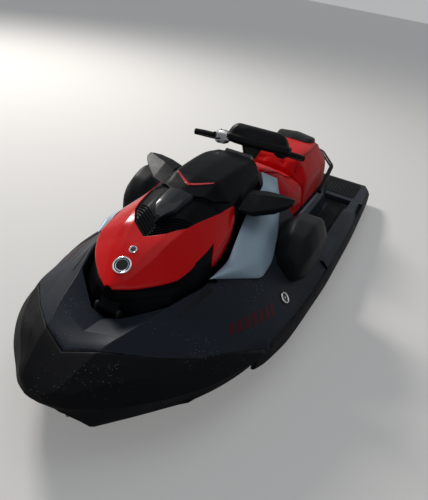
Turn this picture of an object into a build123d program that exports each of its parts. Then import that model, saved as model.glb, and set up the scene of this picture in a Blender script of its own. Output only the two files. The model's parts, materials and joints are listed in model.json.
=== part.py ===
"""Personal watercraft: three-seat runabout with a jet pump, afloat at rest.

Frame in millimetres: +X to the bow, +Y to port, +Z up, origin on the centreline at the waterline.
The handlebar stands turned hard to port, and the jet nozzle is turned with it.
"""
import os
from math import cos, pi, radians, sin

from build123d import *

os.makedirs("parts", exist_ok=True)

# Overall sizes
LENGTH = 3318.0
BEAM = 1250.0
HEIGHT = 1140.0
DRAFT = 280.0
STERN_X = -1450.0
BOW_X = STERN_X + LENGTH
TRANSOM_X = STERN_X + 22.0
JOINT_Z = 110.0
SEAT_GAP = 0.3
RUN_GAP = 6.0

# Everything ahead of FORE_X stretches with LENGTH, and the outer breadths go with BEAM
FORE_X = 240.0
STRETCH = (BOW_X - FORE_X) / 1628.0
WIDTH = BEAM / 1250.0


def along(x):
    """A place along the craft, stretched ahead of FORE_X."""
    return x if x < FORE_X else FORE_X + (x - FORE_X) * STRETCH


def fitted(rows, breadths=()):
    """A table whose places follow LENGTH and whose listed columns follow BEAM."""
    return [tuple([along(row[0])] + [v * WIDTH if i in breadths else v for i, v in enumerate(row) if i])
            for row in rows]


# Hull bottom stations: x, keel z, chine half-breadth, chine z, half-breadth at the deck joint
HULL_STATIONS = fitted([
    (TRANSOM_X, -DRAFT, 498, -85, 540),
    (-900, -DRAFT, 512, -80, 575),
    (0, -DRAFT, 512, -72, 590),
    (600, -274, 490, -45, 575),
    (1050, -240, 420, 5, 515),
    (1400, -145, 285, 55, 405),
    (1640, 5, 150, 85, 255),
    (1752, 96, 40, 103, 110),
], (2, 4))
# Lifting strake, as shares of the way from the keel to the chine, and the chine's flat
STRAKE = (0.42, 0.47)
CHINE_FLAT = 0.93

# Bow deck stations: x, centre z, ridge y and z, knuckle y and z, gunwale y and z, edge y and z, foot y
BOW_STATIONS = fitted([
    (1868, 300, 24, 302, 30, 298, 36, 293, 42, 272, 20),
    (1842, 317, 68, 324, 78, 316, 87, 306, 95, 262, 50),
    (1780, 352, 88, 358, 115, 342, 140, 320, 168, 250, 118),
    (1689, 392, 109, 398, 178, 368, 228, 338, 270, 244, 195),
    (1566, 380, 150, 424, 252, 354, 322, 312, 370, 238, 292),
    (1436, 366, 190, 440, 292, 364, 388, 312, 443, 222, 385),
    (1250, 372, 258, 466, 336, 380, 452, 285, 508, 202, 468),
    (1100, 372, 300, 458, 362, 386, 508, 255, 550, 192, 510),
    (878, 372, 376, 386, 392, 378, 545, 230, 588, 188, 548),
    (550, 368, 376, 374, 396, 364, 562, 214, 608, 188, 575),
    (FORE_X, 360, 376, 366, 396, 352, 568, 210, 600, 188, 588),
], (2, 4, 6, 8, 10))

# Rub rail stations: x, outer half-breadth, top z
RAIL_STATIONS = fitted([
    (1100, 550, 224),
    (878, 590, 210),
    (550, 610, 202),
    (240, 623, 198),
    (-300, 625, 192),
    (-900, 612, 172),
    (-1300, 592, 148),
    (STERN_X, 556, 136),
], (1,))
RAIL_DEPTH = 22.0

# The line where the front bumper meets the deck, in plan: x and half-breadth
PARTING_LINE = fitted([(1736, 0), (1689, 109), (1566, 252), (1436, 380), (1250, 468), (1100, 528)], (1,))


def section_plane(x):
    """A plane across the craft at x, with local axes along +Y and +Z."""
    return Plane(origin=(x, 0, 0), x_dir=(0, 1, 0), z_dir=(1, 0, 0))


def side_plane(y):
    """A plane along the craft at y, with local axes along +X and +Z."""
    return Plane(origin=(0, y, 0), x_dir=(1, 0, 0), z_dir=(0, -1, 0))


def both_sides(half):
    """A closed outline from its port half, listed from the centreline outwards."""
    return half + [(-y, z) for y, z in reversed(half) if y > 0]


def across(x, outline):
    """A face across the craft at x."""
    with BuildSketch(section_plane(x), mode=Mode.PRIVATE) as face:
        with BuildLine():
            Polyline(*outline, close=True)
        make_face()
    return face.sketch


def row_at(rows, x):
    """A table's row at any x, each column read from a monotone cubic through its values."""
    rows = sorted(rows)
    i = max(k for k in range(len(rows) - 1) if k == 0 or rows[k][0] <= x)
    step = rows[i + 1][0] - rows[i][0]
    t = (x - rows[i][0]) / step
    out = [x]
    for column in range(1, len(rows[0])):
        secants = [(b[column] - a[column]) / (b[0] - a[0]) for a, b in zip(rows, rows[1:])]
        joined = [0 if a * b <= 0 else 2 * a * b / (a + b) for a, b in zip(secants, secants[1:])]
        slopes = [secants[0]] + joined + [secants[-1]]
        out.append(rows[i][column] * (1 - t)**2 * (1 + 2 * t) + rows[i + 1][column] * t**2 * (3 - 2 * t)
                   + step * (slopes[i] * t * (1 - t)**2 - slopes[i + 1] * t**2 * (1 - t)))
    return tuple(out)


def sections(rows, count, crowd=0.0):
    """A table's rows at even places along it, or at places that crowd towards its high end."""
    first, last = min(rows)[0], max(rows)[0]
    shares = [k / (count - 1) for k in range(count)]
    return [row_at(rows, first + (last - first) * ((1 - crowd) * u + crowd * sin(pi / 2 * u))) for u in shares]


def rounded(plane, outline, radius):
    """A face on a plane, its outline's corners rounded."""
    with BuildSketch(plane, mode=Mode.PRIVATE) as face:
        with BuildLine():
            FilletPolyline(*outline, radius=radius, close=True)
        make_face()
    return face.sketch


def save(piece, name):
    """Label a finished piece and write it."""
    piece.part.label = name
    export_step(piece.part, f"parts/{name}.step")


# Jet drive sizes
PUMP_Z = -120.0
TUNNEL_HALF = 126.0
TUNNEL_TOP = 84.0
TUNNEL_X = -1000.0
DUCT_FRONT_X = -560.0
DUCT_HALF = 92.0
SHAFT_R = 12.0
SHAFT_FRONT_X = -640.0
SHAFT_FIT = 0.05
BEARING_LENGTH = 40.0

# Engine bay under the seat
BAY_X = (-620.0, 120.0)
BAY_HALF = 200.0
BAY_FLOOR_Z = -165.0

# Hull moulding: V bottom, hard chines and flared sides, with the bay, duct and pump tunnel
hull_faces = []
for x, keel_z, chine_y, chine_z, top_y in sections(HULL_STATIONS, 12):
    def bottom(share):
        return (share * chine_y, keel_z + share * (chine_z - keel_z))
    strake_in, strake_out, flat_in = bottom(STRAKE[0]), bottom(STRAKE[1]), bottom(CHINE_FLAT)
    hull_faces.append(across(x, both_sides([
        (0, keel_z), strake_in, (strake_out[0], strake_in[1]), (strake_out[0] + 1, strake_out[1] + 1), flat_in,
        (chine_y, flat_in[1] - 1), (top_y, JOINT_Z)])))
with BuildPart() as hull:
    loft(hull_faces, ruled=True)
    with BuildSketch(Plane.XY.offset(BAY_FLOOR_Z)):
        with Locations(((BAY_X[0] + BAY_X[1]) / 2, 0)):
            Rectangle(BAY_X[1] - BAY_X[0], 2 * BAY_HALF)
    extrude(amount=JOINT_Z - BAY_FLOOR_Z + 1, mode=Mode.SUBTRACT)
    with BuildSketch(section_plane(STERN_X)):
        with Locations((0, (TUNNEL_TOP - 320) / 2)):
            RectangleRounded(2 * TUNNEL_HALF, TUNNEL_TOP + 320, 50)
    extrude(amount=TUNNEL_X - STERN_X, mode=Mode.SUBTRACT)
    with BuildSketch(side_plane(0)):
        with BuildLine():
            Polyline(
                (TUNNEL_X - 1, -300), (TUNNEL_X - 1, PUMP_Z + 80), (TUNNEL_X + 60, PUMP_Z + 74),
                (DUCT_FRONT_X, -240), (DUCT_FRONT_X, -300), close=True)
        make_face()
    extrude(amount=DUCT_HALF, both=True, mode=Mode.SUBTRACT)
    with BuildSketch(section_plane(SHAFT_FRONT_X - BEARING_LENGTH)):
        with Locations((0, PUMP_Z)):
            Circle(SHAFT_R + RUN_GAP)
    extrude(amount=-200, mode=Mode.SUBTRACT)
    with BuildSketch(section_plane(SHAFT_FRONT_X + SEAT_GAP)):
        with Locations((0, PUMP_Z)):
            Circle(SHAFT_R + SHAFT_FIT)
    extrude(amount=-60, mode=Mode.SUBTRACT)
save(hull, "hull")

# Bow form: the faceted upper body ahead of the footwells, later split into bumper and deck
STEM_FOOT_X = along(1752)
bow_faces = []
for row in sections(BOW_STATIONS, 15, 1.0):
    x, centre_z, ridge_y, ridge_z, knuckle_y, knuckle_z, gunwale_y, gunwale_z, edge_y, edge_z, foot_y = row
    bow_faces.append(across(x, both_sides([
        (0, JOINT_Z), (foot_y, JOINT_Z), (edge_y, edge_z), (gunwale_y, gunwale_z),
        (knuckle_y, knuckle_z), (ridge_y, ridge_z), (0, centre_z)])))
with BuildPart() as bow_form:
    loft(bow_faces, ruled=True)
    with BuildSketch(side_plane(0)):
        with BuildLine():
            Polyline((STEM_FOOT_X, JOINT_Z - 5), (along(1822), 214), (BOW_X, 276), (BOW_X + 50, 276),
                     (BOW_X + 50, JOINT_Z - 5), close=True)
        make_face()
    extrude(amount=BEAM / 2, both=True, mode=Mode.SUBTRACT)

# Plan outline of the deck inside bumper and rub rail
rail_rows = sections(RAIL_STATIONS, 12)
rail_inner = [(x, y - RAIL_DEPTH) for x, y, top_z in reversed(rail_rows)]
with BuildPart() as deck_plan:
    with BuildSketch(Plane.XY.offset(JOINT_Z - 10)):
        with BuildLine():
            for side in (1, -1):
                Polyline(*[(x, side * y) for x, y in PARTING_LINE[:-1] + rail_inner[:1]])
                Polyline(*[(x, side * y) for x, y in rail_inner])
            Line(rail_inner[-1], (rail_inner[-1][0], -rail_inner[-1][1]))
        make_face()
    extrude(amount=600)

# Front bumper: the black nose piece around the bow
with BuildPart() as front_bumper:
    add(bow_form.part)
    add(deck_plan.part, mode=Mode.SUBTRACT)
    with BuildSketch(Plane.XY.offset(JOINT_Z - 10)):
        with Locations((0, 0)):
            Rectangle(2 * RAIL_STATIONS[0][0], 2 * BEAM)
    extrude(amount=600, mode=Mode.SUBTRACT)
save(front_bumper, "front_bumper")

# Rub rail along each side
with BuildPart() as rub_rail:
    loft([across(x, [(y - RAIL_DEPTH, JOINT_Z), (y - 12, JOINT_Z), (y, JOINT_Z + 10), (y - 2, top_z - 9),
                     (y - 9, top_z), (y - RAIL_DEPTH, top_z)]) for x, y, top_z in rail_rows], ruled=True)
    mirror(about=Plane.XZ)
save(rub_rail, "rub_rail")

# Audio pods: a faceted black housing on each side, ahead of the footwells
# columns: x, inner y, outer y, bottom z, shoulder z, top z
POD_STATIONS = fitted([
    (706, 405, 500, 292, 366, 402),
    (600, 385, 540, 270, 430, 500),
    (480, 376, 552, 262, 450, 556),
    (330, 380, 552, 262, 420, 512),
    (190, 424, 540, 264, 360, 430),
], (1, 2))
POD_ROUND = 12.0
with BuildPart() as audio_pods:
    loft([rounded(section_plane(x), [
        (inner_y, bottom_z), (outer_y - 20, bottom_z), (outer_y, shoulder_z), (outer_y - 40, top_z),
        (inner_y + 24, top_z), (inner_y, shoulder_z)], POD_ROUND)
        for x, inner_y, outer_y, bottom_z, shoulder_z, top_z in sections(POD_STATIONS, 8)], ruled=True)
    mirror(about=Plane.XZ)
save(audio_pods, "audio_pods")

# Hood and tray sizes
TRAY_FLOOR_Z = 352.0
TRAY_OUTLINE = fitted([(1509, 57), (1389, 200), (1250, 246), (1060, 268), (860, 238), (430, 192)])
BIN_X = (along(700), along(1250))
BIN_HALF = 190.0
BIN_WALL = 5.0
BIN_FLOOR_Z = JOINT_Z + 14

# Pedestal and footwells
PEDESTAL_FRONT_X = 430.0
PEDESTAL_REAR_X = -1010.0
PEDESTAL_TOP_Z = 285.0
PEDESTAL_TOP_HALF = 292.0
PEDESTAL_FOOT_HALF = 335.0
PLATFORM_Z = 152.0
PLATFORM_X = -1000.0
GUNWALE_INNER_Y = 492.0
GUNWALE_RISE = 32.0

# Side fairing: a flat panel that leans in on each side of the hood; corners x, y, z of the port one
FAIRING_THICKNESS = 10.0
FAIRING_ORIGIN = Vector(along(1203), 272, 502)
FAIRING_REAR_LOW = Vector(along(878), 396, 386)
FAIRING_REAR_TOP = Vector(along(270), 183, 637)
FAIRING_NORMAL = (FAIRING_REAR_LOW - FAIRING_ORIGIN).cross(FAIRING_REAR_TOP - FAIRING_ORIGIN).normalized()
FAIRING_PLANE = Plane(origin=FAIRING_ORIGIN, x_dir=FAIRING_REAR_LOW - FAIRING_ORIGIN, z_dir=FAIRING_NORMAL)
FAIRING_LOWER = fitted([(878, 396, 386), (734, 390, 399), (557, 345, 454), (354, 263, 550), (262, 196, 625)])
FAIRING_UPPER = fitted([(380, 142, 677), (436, 178, 635), (723, 212, 586), (848, 236, 554), (1042, 276, 505)])

with BuildPart() as side_fairings:
    with BuildSketch(FAIRING_PLANE):
        with BuildLine():
            corner, lower, upper = [[(p.X, p.Y) for p in (FAIRING_PLANE.to_local_coords(Vector(*c)) for c in line)]
                                    for line in ([(along(1203), 272, 502)], FAIRING_LOWER, FAIRING_UPPER)]
            Line(corner[0], lower[0])
            Spline(*lower)
            Line(lower[-1], upper[0])
            Spline(*upper)
            Line(upper[-1], corner[0])
        make_face()
    extrude(amount=-FAIRING_THICKNESS)
    mirror(about=Plane.XZ)
save(side_fairings, "side_fairings")


def fairing_back_y(x, z):
    """Half-breadth of the fairing's inner face at x and z."""
    n = FAIRING_NORMAL
    reach = n.dot(FAIRING_ORIGIN) - FAIRING_THICKNESS
    return (reach - n.X * x - n.Z * z) / n.Y


# Cheeks: the deck's upstands behind the fairings; columns x, inner y, bottom z, top z
CHEEK_STATIONS = fitted([
    (1150, 266, TRAY_FLOOR_Z, 476),
    (1042, 270, TRAY_FLOOR_Z, 486),
    (860, 240, TRAY_FLOOR_Z, 534),
    (640, 212, TRAY_FLOOR_Z, 566),
    (430, 194, TRAY_FLOOR_Z, 586),
    (290, 186, TRAY_FLOOR_Z, 590),
])

CONSOLE_FRONT_X = along(424)
CONSOLE_REAR_X = 212.0

# Steering frame: the column leans aft, and the bar is turned to port about it
STEER_X = 232.0
STEER_Z = 635.0
STEER_TILT = 12.0
STEER_TURN = 25.0
COLUMN_R = 14.0
COLLAR_R = 34.0
COLLAR_TOP = 30.0
tilt, turn = radians(STEER_TILT), radians(STEER_TURN)
STEER_AXIS = Vector(-sin(tilt), 0, cos(tilt))
STEER_FRONT = Vector(cos(tilt) * cos(turn), sin(turn), sin(tilt) * cos(turn))
STEER_PLANE = Plane(origin=(STEER_X, 0, STEER_Z), x_dir=STEER_FRONT, z_dir=STEER_AXIS)

# Console between the hood and the seat, which carries the steering column
# columns: x, foot half-breadth, shoulder y and z, top half-breadth, top z
CONSOLE_STATIONS = [
    (CONSOLE_FRONT_X, 180, 176, 600, 112, 690),
    (370, 179, 172, 596, 104, 680),
    (300, 177, 162, 586, 92, 650),
    (CONSOLE_REAR_X, 172, 150, 560, 80, 612),
]
with BuildPart() as console:
    loft([across(x, both_sides([(0, PEDESTAL_TOP_Z), (foot, PEDESTAL_TOP_Z), (foot, 470), (shoulder, shoulder_z),
                                (top, top_z), (0, top_z + 6)]))
          for x, foot, shoulder, shoulder_z, top, top_z in CONSOLE_STATIONS], ruled=True)
    with BuildSketch(STEER_PLANE.offset(-60)):
        Circle(COLLAR_R)
    extrude(amount=60 + COLLAR_TOP)
    with BuildSketch(STEER_PLANE.offset(-40)):
        Circle(COLUMN_R + SHAFT_FIT)
    extrude(amount=200, mode=Mode.SUBTRACT)
save(console, "console")

# Instrument display in its cowl on the console
GAUGE_HALF = 74.0
with BuildPart() as gauge:
    with BuildSketch(side_plane(0)):
        with BuildLine():
            Polyline((418, 660), (418, 744), (396, 752), (352, 716), (352, 640), close=True)
        make_face()
    extrude(amount=GAUGE_HALF, both=True)
    add(console.part, mode=Mode.SUBTRACT)
save(gauge, "gauge")

# Deck moulding: faceted bow, tray under the hood, pedestal, gunwales and rear platform
# pedestal columns: x, top half-breadth, foot half-breadth, top z
PEDESTAL_STATIONS = [
    (PEDESTAL_FRONT_X, PEDESTAL_TOP_HALF, PEDESTAL_FOOT_HALF, PEDESTAL_TOP_Z),
    (-700, PEDESTAL_TOP_HALF, PEDESTAL_FOOT_HALF, PEDESTAL_TOP_Z),
    (PEDESTAL_REAR_X, 262, 290, 262),
]
# gunwale columns: x, outer half-breadth, height of the outer edge
GUNWALE_STATIONS = [row_at(RAIL_STATIONS, x) for x in (FORE_X, 0.0, -250.0, -450.0)] + [
    (x, row_at(RAIL_STATIONS, x)[1], top_z) for x, top_z in [(-620, 178), (-740, 152), (-860, 126),
                                                            (PLATFORM_X, PLATFORM_Z - GUNWALE_RISE)]]
with BuildPart() as deck:
    add(bow_form.part)
    add(deck_plan.part, mode=Mode.INTERSECT)
    with BuildSketch(Plane.XY.offset(TRAY_FLOOR_Z)):
        with BuildLine():
            Polyline(*(TRAY_OUTLINE + [(x, -y) for x, y in reversed(TRAY_OUTLINE)]), close=True)
        make_face()
    extrude(amount=300, mode=Mode.SUBTRACT)
    with BuildSketch(Plane.XY.offset(BIN_FLOOR_Z)):
        with Locations(((BIN_X[0] + BIN_X[1]) / 2, 0)):
            Rectangle(BIN_X[1] - BIN_X[0], 2 * BIN_HALF)
    extrude(amount=300, mode=Mode.SUBTRACT)
    loft([across(x, both_sides([(0, JOINT_Z), (foot, JOINT_Z), (top, z), (0, z)]))
          for x, top, foot, z in PEDESTAL_STATIONS], ruled=True)
    for side in (1, -1):
        cheek_faces = []
        for x, inner_y, bottom_z, top_z in sections(CHEEK_STATIONS, 6):
            cheek_faces.append(across(x, [
                (side * inner_y, bottom_z - 72), (side * (fairing_back_y(x, bottom_z) - 40), bottom_z - 72),
                (side * fairing_back_y(x, bottom_z), bottom_z + 24),
                (side * fairing_back_y(x, top_z), top_z), (side * inner_y, top_z)]))
        loft(cheek_faces, ruled=True)
        gunwale_faces = []
        for x, outer_y, top_z in GUNWALE_STATIONS:
            y = outer_y - RAIL_DEPTH
            gunwale_faces.append(across(x, [
                (side * (GUNWALE_INNER_Y + 6), JOINT_Z), (side * y, JOINT_Z), (side * y, top_z),
                (side * (y - 34), top_z + GUNWALE_RISE), (side * GUNWALE_INNER_Y, top_z + GUNWALE_RISE)]))
        loft(gunwale_faces, ruled=True)
    with BuildSketch(Plane.XY.offset(JOINT_Z)):
        with BuildLine():
            rear = [(x, row_at(RAIL_STATIONS, x)[1] - RAIL_DEPTH) for x in (PLATFORM_X, -1150, -1300, STERN_X)]
            for side in (1, -1):
                Polyline(*[(x, side * y) for x, y in rear])
            for x, y in (rear[0], rear[-1]):
                Line((x, y), (x, -y))
        make_face()
    extrude(amount=PLATFORM_Z - JOINT_Z)
    with BuildSketch(Plane.XY.offset(JOINT_Z)):
        with Locations(((BAY_X[0] + BAY_X[1]) / 2, 0)):
            Rectangle(BAY_X[1] - BAY_X[0], 2 * BAY_HALF)
    extrude(amount=PEDESTAL_TOP_Z - JOINT_Z + 1, mode=Mode.SUBTRACT)
    for neighbour in (audio_pods, side_fairings, console, rub_rail):
        add(neighbour.part, mode=Mode.SUBTRACT)
save(deck, "deck")

# Storage bin in the tray, open at the top, with a rim on the tray floor
with BuildPart() as storage_bin:
    with BuildSketch(Plane.XY.offset(BIN_FLOOR_Z)):
        with Locations(((BIN_X[0] + BIN_X[1]) / 2, 0)):
            Rectangle(BIN_X[1] - BIN_X[0], 2 * BIN_HALF)
    extrude(amount=TRAY_FLOOR_Z - BIN_FLOOR_Z)
    with BuildSketch(Plane.XY.offset(TRAY_FLOOR_Z)):
        with Locations(((BIN_X[0] + BIN_X[1]) / 2, 0)):
            Rectangle(BIN_X[1] - BIN_X[0] + 36, 2 * BIN_HALF + 36)
    extrude(amount=12)
    with BuildSketch(Plane.XY.offset(BIN_FLOOR_Z + BIN_WALL)):
        with Locations(((BIN_X[0] + BIN_X[1]) / 2, 0)):
            RectangleRounded(BIN_X[1] - BIN_X[0] - 2 * BIN_WALL, 2 * (BIN_HALF - BIN_WALL), 30)
    extrude(amount=400, mode=Mode.SUBTRACT)
save(storage_bin, "storage_bin")

# Hood stations: x, centre z, cap y and z, flank top y and z, flank y and z, base y
HOOD_STATIONS = fitted([
    (1495, 506, 4, 505, 7, 504, 10, 502, 10),
    (1445, 535, 26, 532, 48, 526, 78, 508, 78),
    (1325, 603, 54, 600, 94, 588, 184, 528, 182),
    (1238, 634, 72, 642, 110, 634, 222, 556, 228),
    (1100, 700, 85, 690, 142, 655, 240, 575, 248),
    (958, 728, 92, 714, 166, 662, 226, 592, 234),
    (861, 752, 98, 746, 182, 660, 206, 600, 212),
    (600, 765, 108, 755, 152, 690, 166, 610, 172),
    (432, 745, 100, 736, 136, 690, 152, 610, 158),
])
HOOD_BASE_Z = 488.0
SKIRT_Z = 396.0
with BuildPart() as hood_form:
    loft([across(x, both_sides([(0, HOOD_BASE_Z), (base_y, HOOD_BASE_Z), (flank_y, flank_z), (brow_y, brow_z),
                                (cap_y, cap_z), (0, centre_z)]))
          for x, centre_z, cap_y, cap_z, brow_y, brow_z, flank_y, flank_z, base_y in sections(HOOD_STATIONS, 14, 0.4)],
         ruled=True)


def hood_skin(low, high):
    """The layer of the hood between two heights above its form."""
    with BuildPart(mode=Mode.PRIVATE) as layer:
        with Locations((0, 0, high)):
            add(hood_form.part)
        with Locations((0, 0, low)):
            add(hood_form.part, mode=Mode.SUBTRACT)
    return layer.part


def column_over(outline):
    """A tall prism over a plan outline given from the bow aft on the port side, and its mirror image."""
    with BuildPart(mode=Mode.PRIVATE) as prism:
        with BuildSketch(Plane.XY.offset(HOOD_BASE_Z - 1)):
            with BuildLine():
                Polyline(*(outline + [(x, -y) for x, y in reversed(outline) if y > 0]), close=True)
            make_face()
        extrude(amount=400)
    return prism.part


# Red panel: the hood's front and flanks, bounded behind by the vent insert and below by a slanting edge
PANEL_RISE = 3.0
HOOD_REAR_X = along(430)
BROW_LINE = fitted([(1280, 0), (1238, 73), (1160, 122), (1060, 146), (958, 168), (861, 184)])
PANEL_LOWER = fitted([(1500, 498), (1445, 502), (1325, 520), (1205, 622), (1176, 540), (1090, 566), (960, 640),
                      (861, 668)])
with BuildPart() as hood_panel:
    with Locations((0, 0, PANEL_RISE)):
        add(hood_form.part)
    add(column_over(BROW_LINE + [(HOOD_REAR_X, BROW_LINE[-1][1])]), mode=Mode.SUBTRACT)
    with BuildSketch(side_plane(0)):
        with BuildLine():
            Polyline(*([(400, HOOD_BASE_Z - 1), (BOW_X, HOOD_BASE_Z - 1)] + PANEL_LOWER
                       + [(PANEL_LOWER[-1][0], 900), (400, 900)]), close=True)
        make_face()
    extrude(amount=400, both=True, mode=Mode.SUBTRACT)
save(hood_panel, "hood_panel")

# Black hood body: everything of the hood form that the red panel leaves, and the skirt below it
HINGE_X = along(1485)
HINGE_Z = 400.0
HINGE_PIN_R = 6.0
KNUCKLE_R = 14.0
KNUCKLE_HALF = 42.0
# outlines of the skirt below and above: x, half-breadth
SKIRT_LOW = fitted([(1458, 40), (1452, 92), (1378, 178), (1238, 222), (1100, 230), (958, 216), (861, 200), (600, 170),
                    (432, 156)])
SKIRT_HIGH = fitted([(1488, 20), (1445, 76), (1325, 180), (1238, 226), (1100, 246), (958, 232), (861, 210), (600, 170),
                     (432, 156)])
INSERT_DEPTH = 5.0
CAP_LINE = fitted([(1040, 0), (952, 124), (861, 168), (600, 146), (440, 124)])
with BuildPart() as hood_body:
    add(hood_form.part)
    add(hood_panel.part, mode=Mode.SUBTRACT)
    with BuildPart(mode=Mode.PRIVATE) as insert:
        add(column_over(BROW_LINE[:4] + [CAP_LINE[1], (CAP_LINE[0][0], 0)]))
        add(hood_skin(-INSERT_DEPTH, PANEL_RISE), mode=Mode.INTERSECT)
    add(insert.part, mode=Mode.SUBTRACT)
    for level, outline in ((SKIRT_Z, SKIRT_LOW), (HOOD_BASE_Z, SKIRT_HIGH)):
        with BuildSketch(Plane.XY.offset(level)):
            with BuildLine():
                Polyline(*(outline + [(x, -y) for x, y in reversed(outline)]), close=True)
            make_face()
    loft(ruled=True)
    with BuildSketch(side_plane(0)):
        with BuildLine():
            Polyline((HINGE_X - 60, SKIRT_Z + 2), (HINGE_X - 60, SKIRT_Z + 44), (HINGE_X - 14, SKIRT_Z + 44),
                     (HINGE_X + KNUCKLE_R, HINGE_Z), (HINGE_X, HINGE_Z - KNUCKLE_R), close=True)
        make_face()
        with Locations((HINGE_X, HINGE_Z)):
            Circle(KNUCKLE_R)
    extrude(amount=KNUCKLE_HALF, both=True)
    with BuildSketch(side_plane(0)):
        with Locations((HINGE_X, HINGE_Z)):
            Circle(HINGE_PIN_R + 0.05)
    extrude(amount=60, both=True, mode=Mode.SUBTRACT)
save(hood_body, "hood_body")

# Hood hinge: two brackets on the tray floor with one pin through the hood's knuckle
with BuildPart() as hood_hinge:
    for side in (1, -1):
        with BuildSketch(side_plane(side * (KNUCKLE_HALF + 2))):
            with BuildLine():
                Polyline((HINGE_X - 22, TRAY_FLOOR_Z), (HINGE_X + 22, TRAY_FLOOR_Z), (HINGE_X + KNUCKLE_R, HINGE_Z),
                         (HINGE_X - KNUCKLE_R, HINGE_Z), close=True)
            make_face()
            with Locations((HINGE_X, HINGE_Z)):
                Circle(KNUCKLE_R)
        extrude(amount=-10 * side)
    with BuildSketch(side_plane(0)):
        with Locations((HINGE_X, HINGE_Z)):
            Circle(HINGE_PIN_R)
    extrude(amount=50, both=True)
save(hood_hinge, "hood_hinge")

# Mirrors: a tapering housing on each flank of the hood; columns: y, rear x, front x, bottom z, top z
MIRROR_STATIONS = [(150, 640, 836, 618, 680), (262, 622, 806, 604, 692), (350, 600, 722, 616, 690),
                   (398, 606, 648, 652, 684)]
with BuildPart() as mirror_housings:
    loft([rounded(side_plane(y), [(rear_x, bottom_z + 8), (rear_x, top_z), (rear_x + 24, top_z),
                                  (front_x, bottom_z + 22), (front_x - 14, bottom_z), (rear_x + 12, bottom_z)],
                  radius) for (y, rear_x, front_x, bottom_z, top_z), radius in zip(
                      sections(MIRROR_STATIONS, 6), (9, 9, 9, 9, 8, 3))])
    add(hood_form.part, mode=Mode.SUBTRACT)
    mirror(about=Plane.XZ)
save(mirror_housings, "mirror_housings")

# Mirror glass on the aft face of each housing
MIRROR_GLASS = 3.0
with BuildPart() as mirror_glass:
    glass_faces = []
    for y, rear_x, front_x, bottom_z, top_z in MIRROR_STATIONS[1:3]:
        with BuildSketch(side_plane(y), mode=Mode.PRIVATE) as face:
            with BuildLine():
                Polyline((rear_x - MIRROR_GLASS, bottom_z + 20), (rear_x + 4, bottom_z + 20), (rear_x + 4, top_z - 12),
                         (rear_x - MIRROR_GLASS, top_z - 12), close=True)
            make_face()
        glass_faces.append(face.sketch)
    loft(glass_faces, ruled=True)
    add(mirror_housings.part, mode=Mode.SUBTRACT)
    mirror(about=Plane.XZ)
save(mirror_glass, "mirror_glass")

# Black cap over the hood's rear: its front edge is a chevron
CAP_RISE = 9.0
with BuildPart() as hood_cap:
    add(column_over(CAP_LINE))
    add(hood_skin(0, CAP_RISE), mode=Mode.INTERSECT)
save(hood_cap, "hood_cap")

# Smoked rib on the centreline that climbs from the insert to the cap
with BuildPart() as hood_window:
    add(column_over(fitted([(1196, 20), (1070, 56), (1020, 56)])))
    add(hood_skin(-INSERT_DEPTH, 12), mode=Mode.INTERSECT)
    add(hood_cap.part, mode=Mode.SUBTRACT)
    add(hood_body.part, mode=Mode.SUBTRACT)
save(hood_window, "hood_window")

# Vent slats on each side of the hood's insert
VENT_COUNT = 4
VENT_PITCH = 26.0
VENT_RISE = 9.0
with BuildPart() as hood_vents:
    with BuildSketch(Plane.XY.offset(HOOD_BASE_Z)):
        for i in range(VENT_COUNT):
            for side in (1, -1):
                x = along(1232) - i * VENT_PITCH
                with BuildLine():
                    Polyline((x, side * 44), (x - 10, side * 44), (x - 36, side * 88), (x - 26, side * 88), close=True)
                make_face()
    extrude(amount=300)
    add(hood_skin(-INSERT_DEPTH, VENT_RISE - INSERT_DEPTH), mode=Mode.INTERSECT)
save(hood_vents, "hood_vents")

# V-shaped accent on the cap
ACCENT_RISE = 2.0
with BuildPart() as cap_accent:
    add(column_over(fitted([(954, 0), (886, 87), (876, 84), (940, 0)])))
    add(hood_skin(CAP_RISE, CAP_RISE + ACCENT_RISE), mode=Mode.INTERSECT)
save(cap_accent, "cap_accent")

# Two plain round badges on the red panel: x and radius
BADGES = [(1412, 37), (1346, 17)]
BADGE_RISE = 3.0
with BuildPart() as badges:
    with BuildSketch(Plane.XY.offset(HOOD_BASE_Z)):
        for x, radius in BADGES:
            with Locations((along(x), 0)):
                Circle(radius)
    extrude(amount=300)
    add(hood_skin(PANEL_RISE, PANEL_RISE + BADGE_RISE), mode=Mode.INTERSECT)
save(badges, "badges")

# Seat: driver's part, passengers' part and the black tail pad
# columns: x, top z, top half-breadth, side y and z, foot half-breadth
SEAT_BASE_Z = PEDESTAL_TOP_Z + SEAT_GAP
DRIVER_STATIONS = [
    (204, 590, 70, 130, 470, 165),
    (150, 614, 90, 168, 480, 212),
    (60, 600, 118, 215, 475, 262),
    (-80, 540, 150, 246, 455, 283),
    (-212, 504, 168, 256, 440, 285),
]
PASSENGER_STATIONS = [
    (-215, 512, 172, 256, 440, 285),
    (-240, 572, 168, 258, 462, 285),
    (-280, 602, 164, 260, 472, 285),
    (-500, 608, 172, 262, 480, 285),
    (-760, 592, 160, 250, 470, 280),
    (-880, 548, 142, 224, 450, 262),
    (-930, 470, 122, 198, 410, 240),
]
SEAT_ROUND = 14.0
for name, stations in (("seat_front", DRIVER_STATIONS), ("seat_rear", PASSENGER_STATIONS)):
    with BuildPart() as seat:
        loft([rounded(section_plane(x), both_sides([
            (foot_y, SEAT_BASE_Z), (side_y, side_z), (top_y, top_z - 16), (0, top_z)]), SEAT_ROUND)
            for x, top_z, top_y, side_y, side_z, foot_y in sections(stations, 9)])
    save(seat, name)
with BuildPart() as seat_tail:
    loft([across(x, both_sides([(0, z), (y, z - 16), (y - 14, z - 16 + rise), (0, z + rise)]))
          for x, y, z, rise in [(-590, 120, 602.5, 10), (-660, 140, 599, 30), (-760, 150, 593, 34),
                                (-860, 128, 559, 26)]])
    with Locations((0, 0, SEAT_GAP)):
        add(seat.part, mode=Mode.SUBTRACT)
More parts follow.
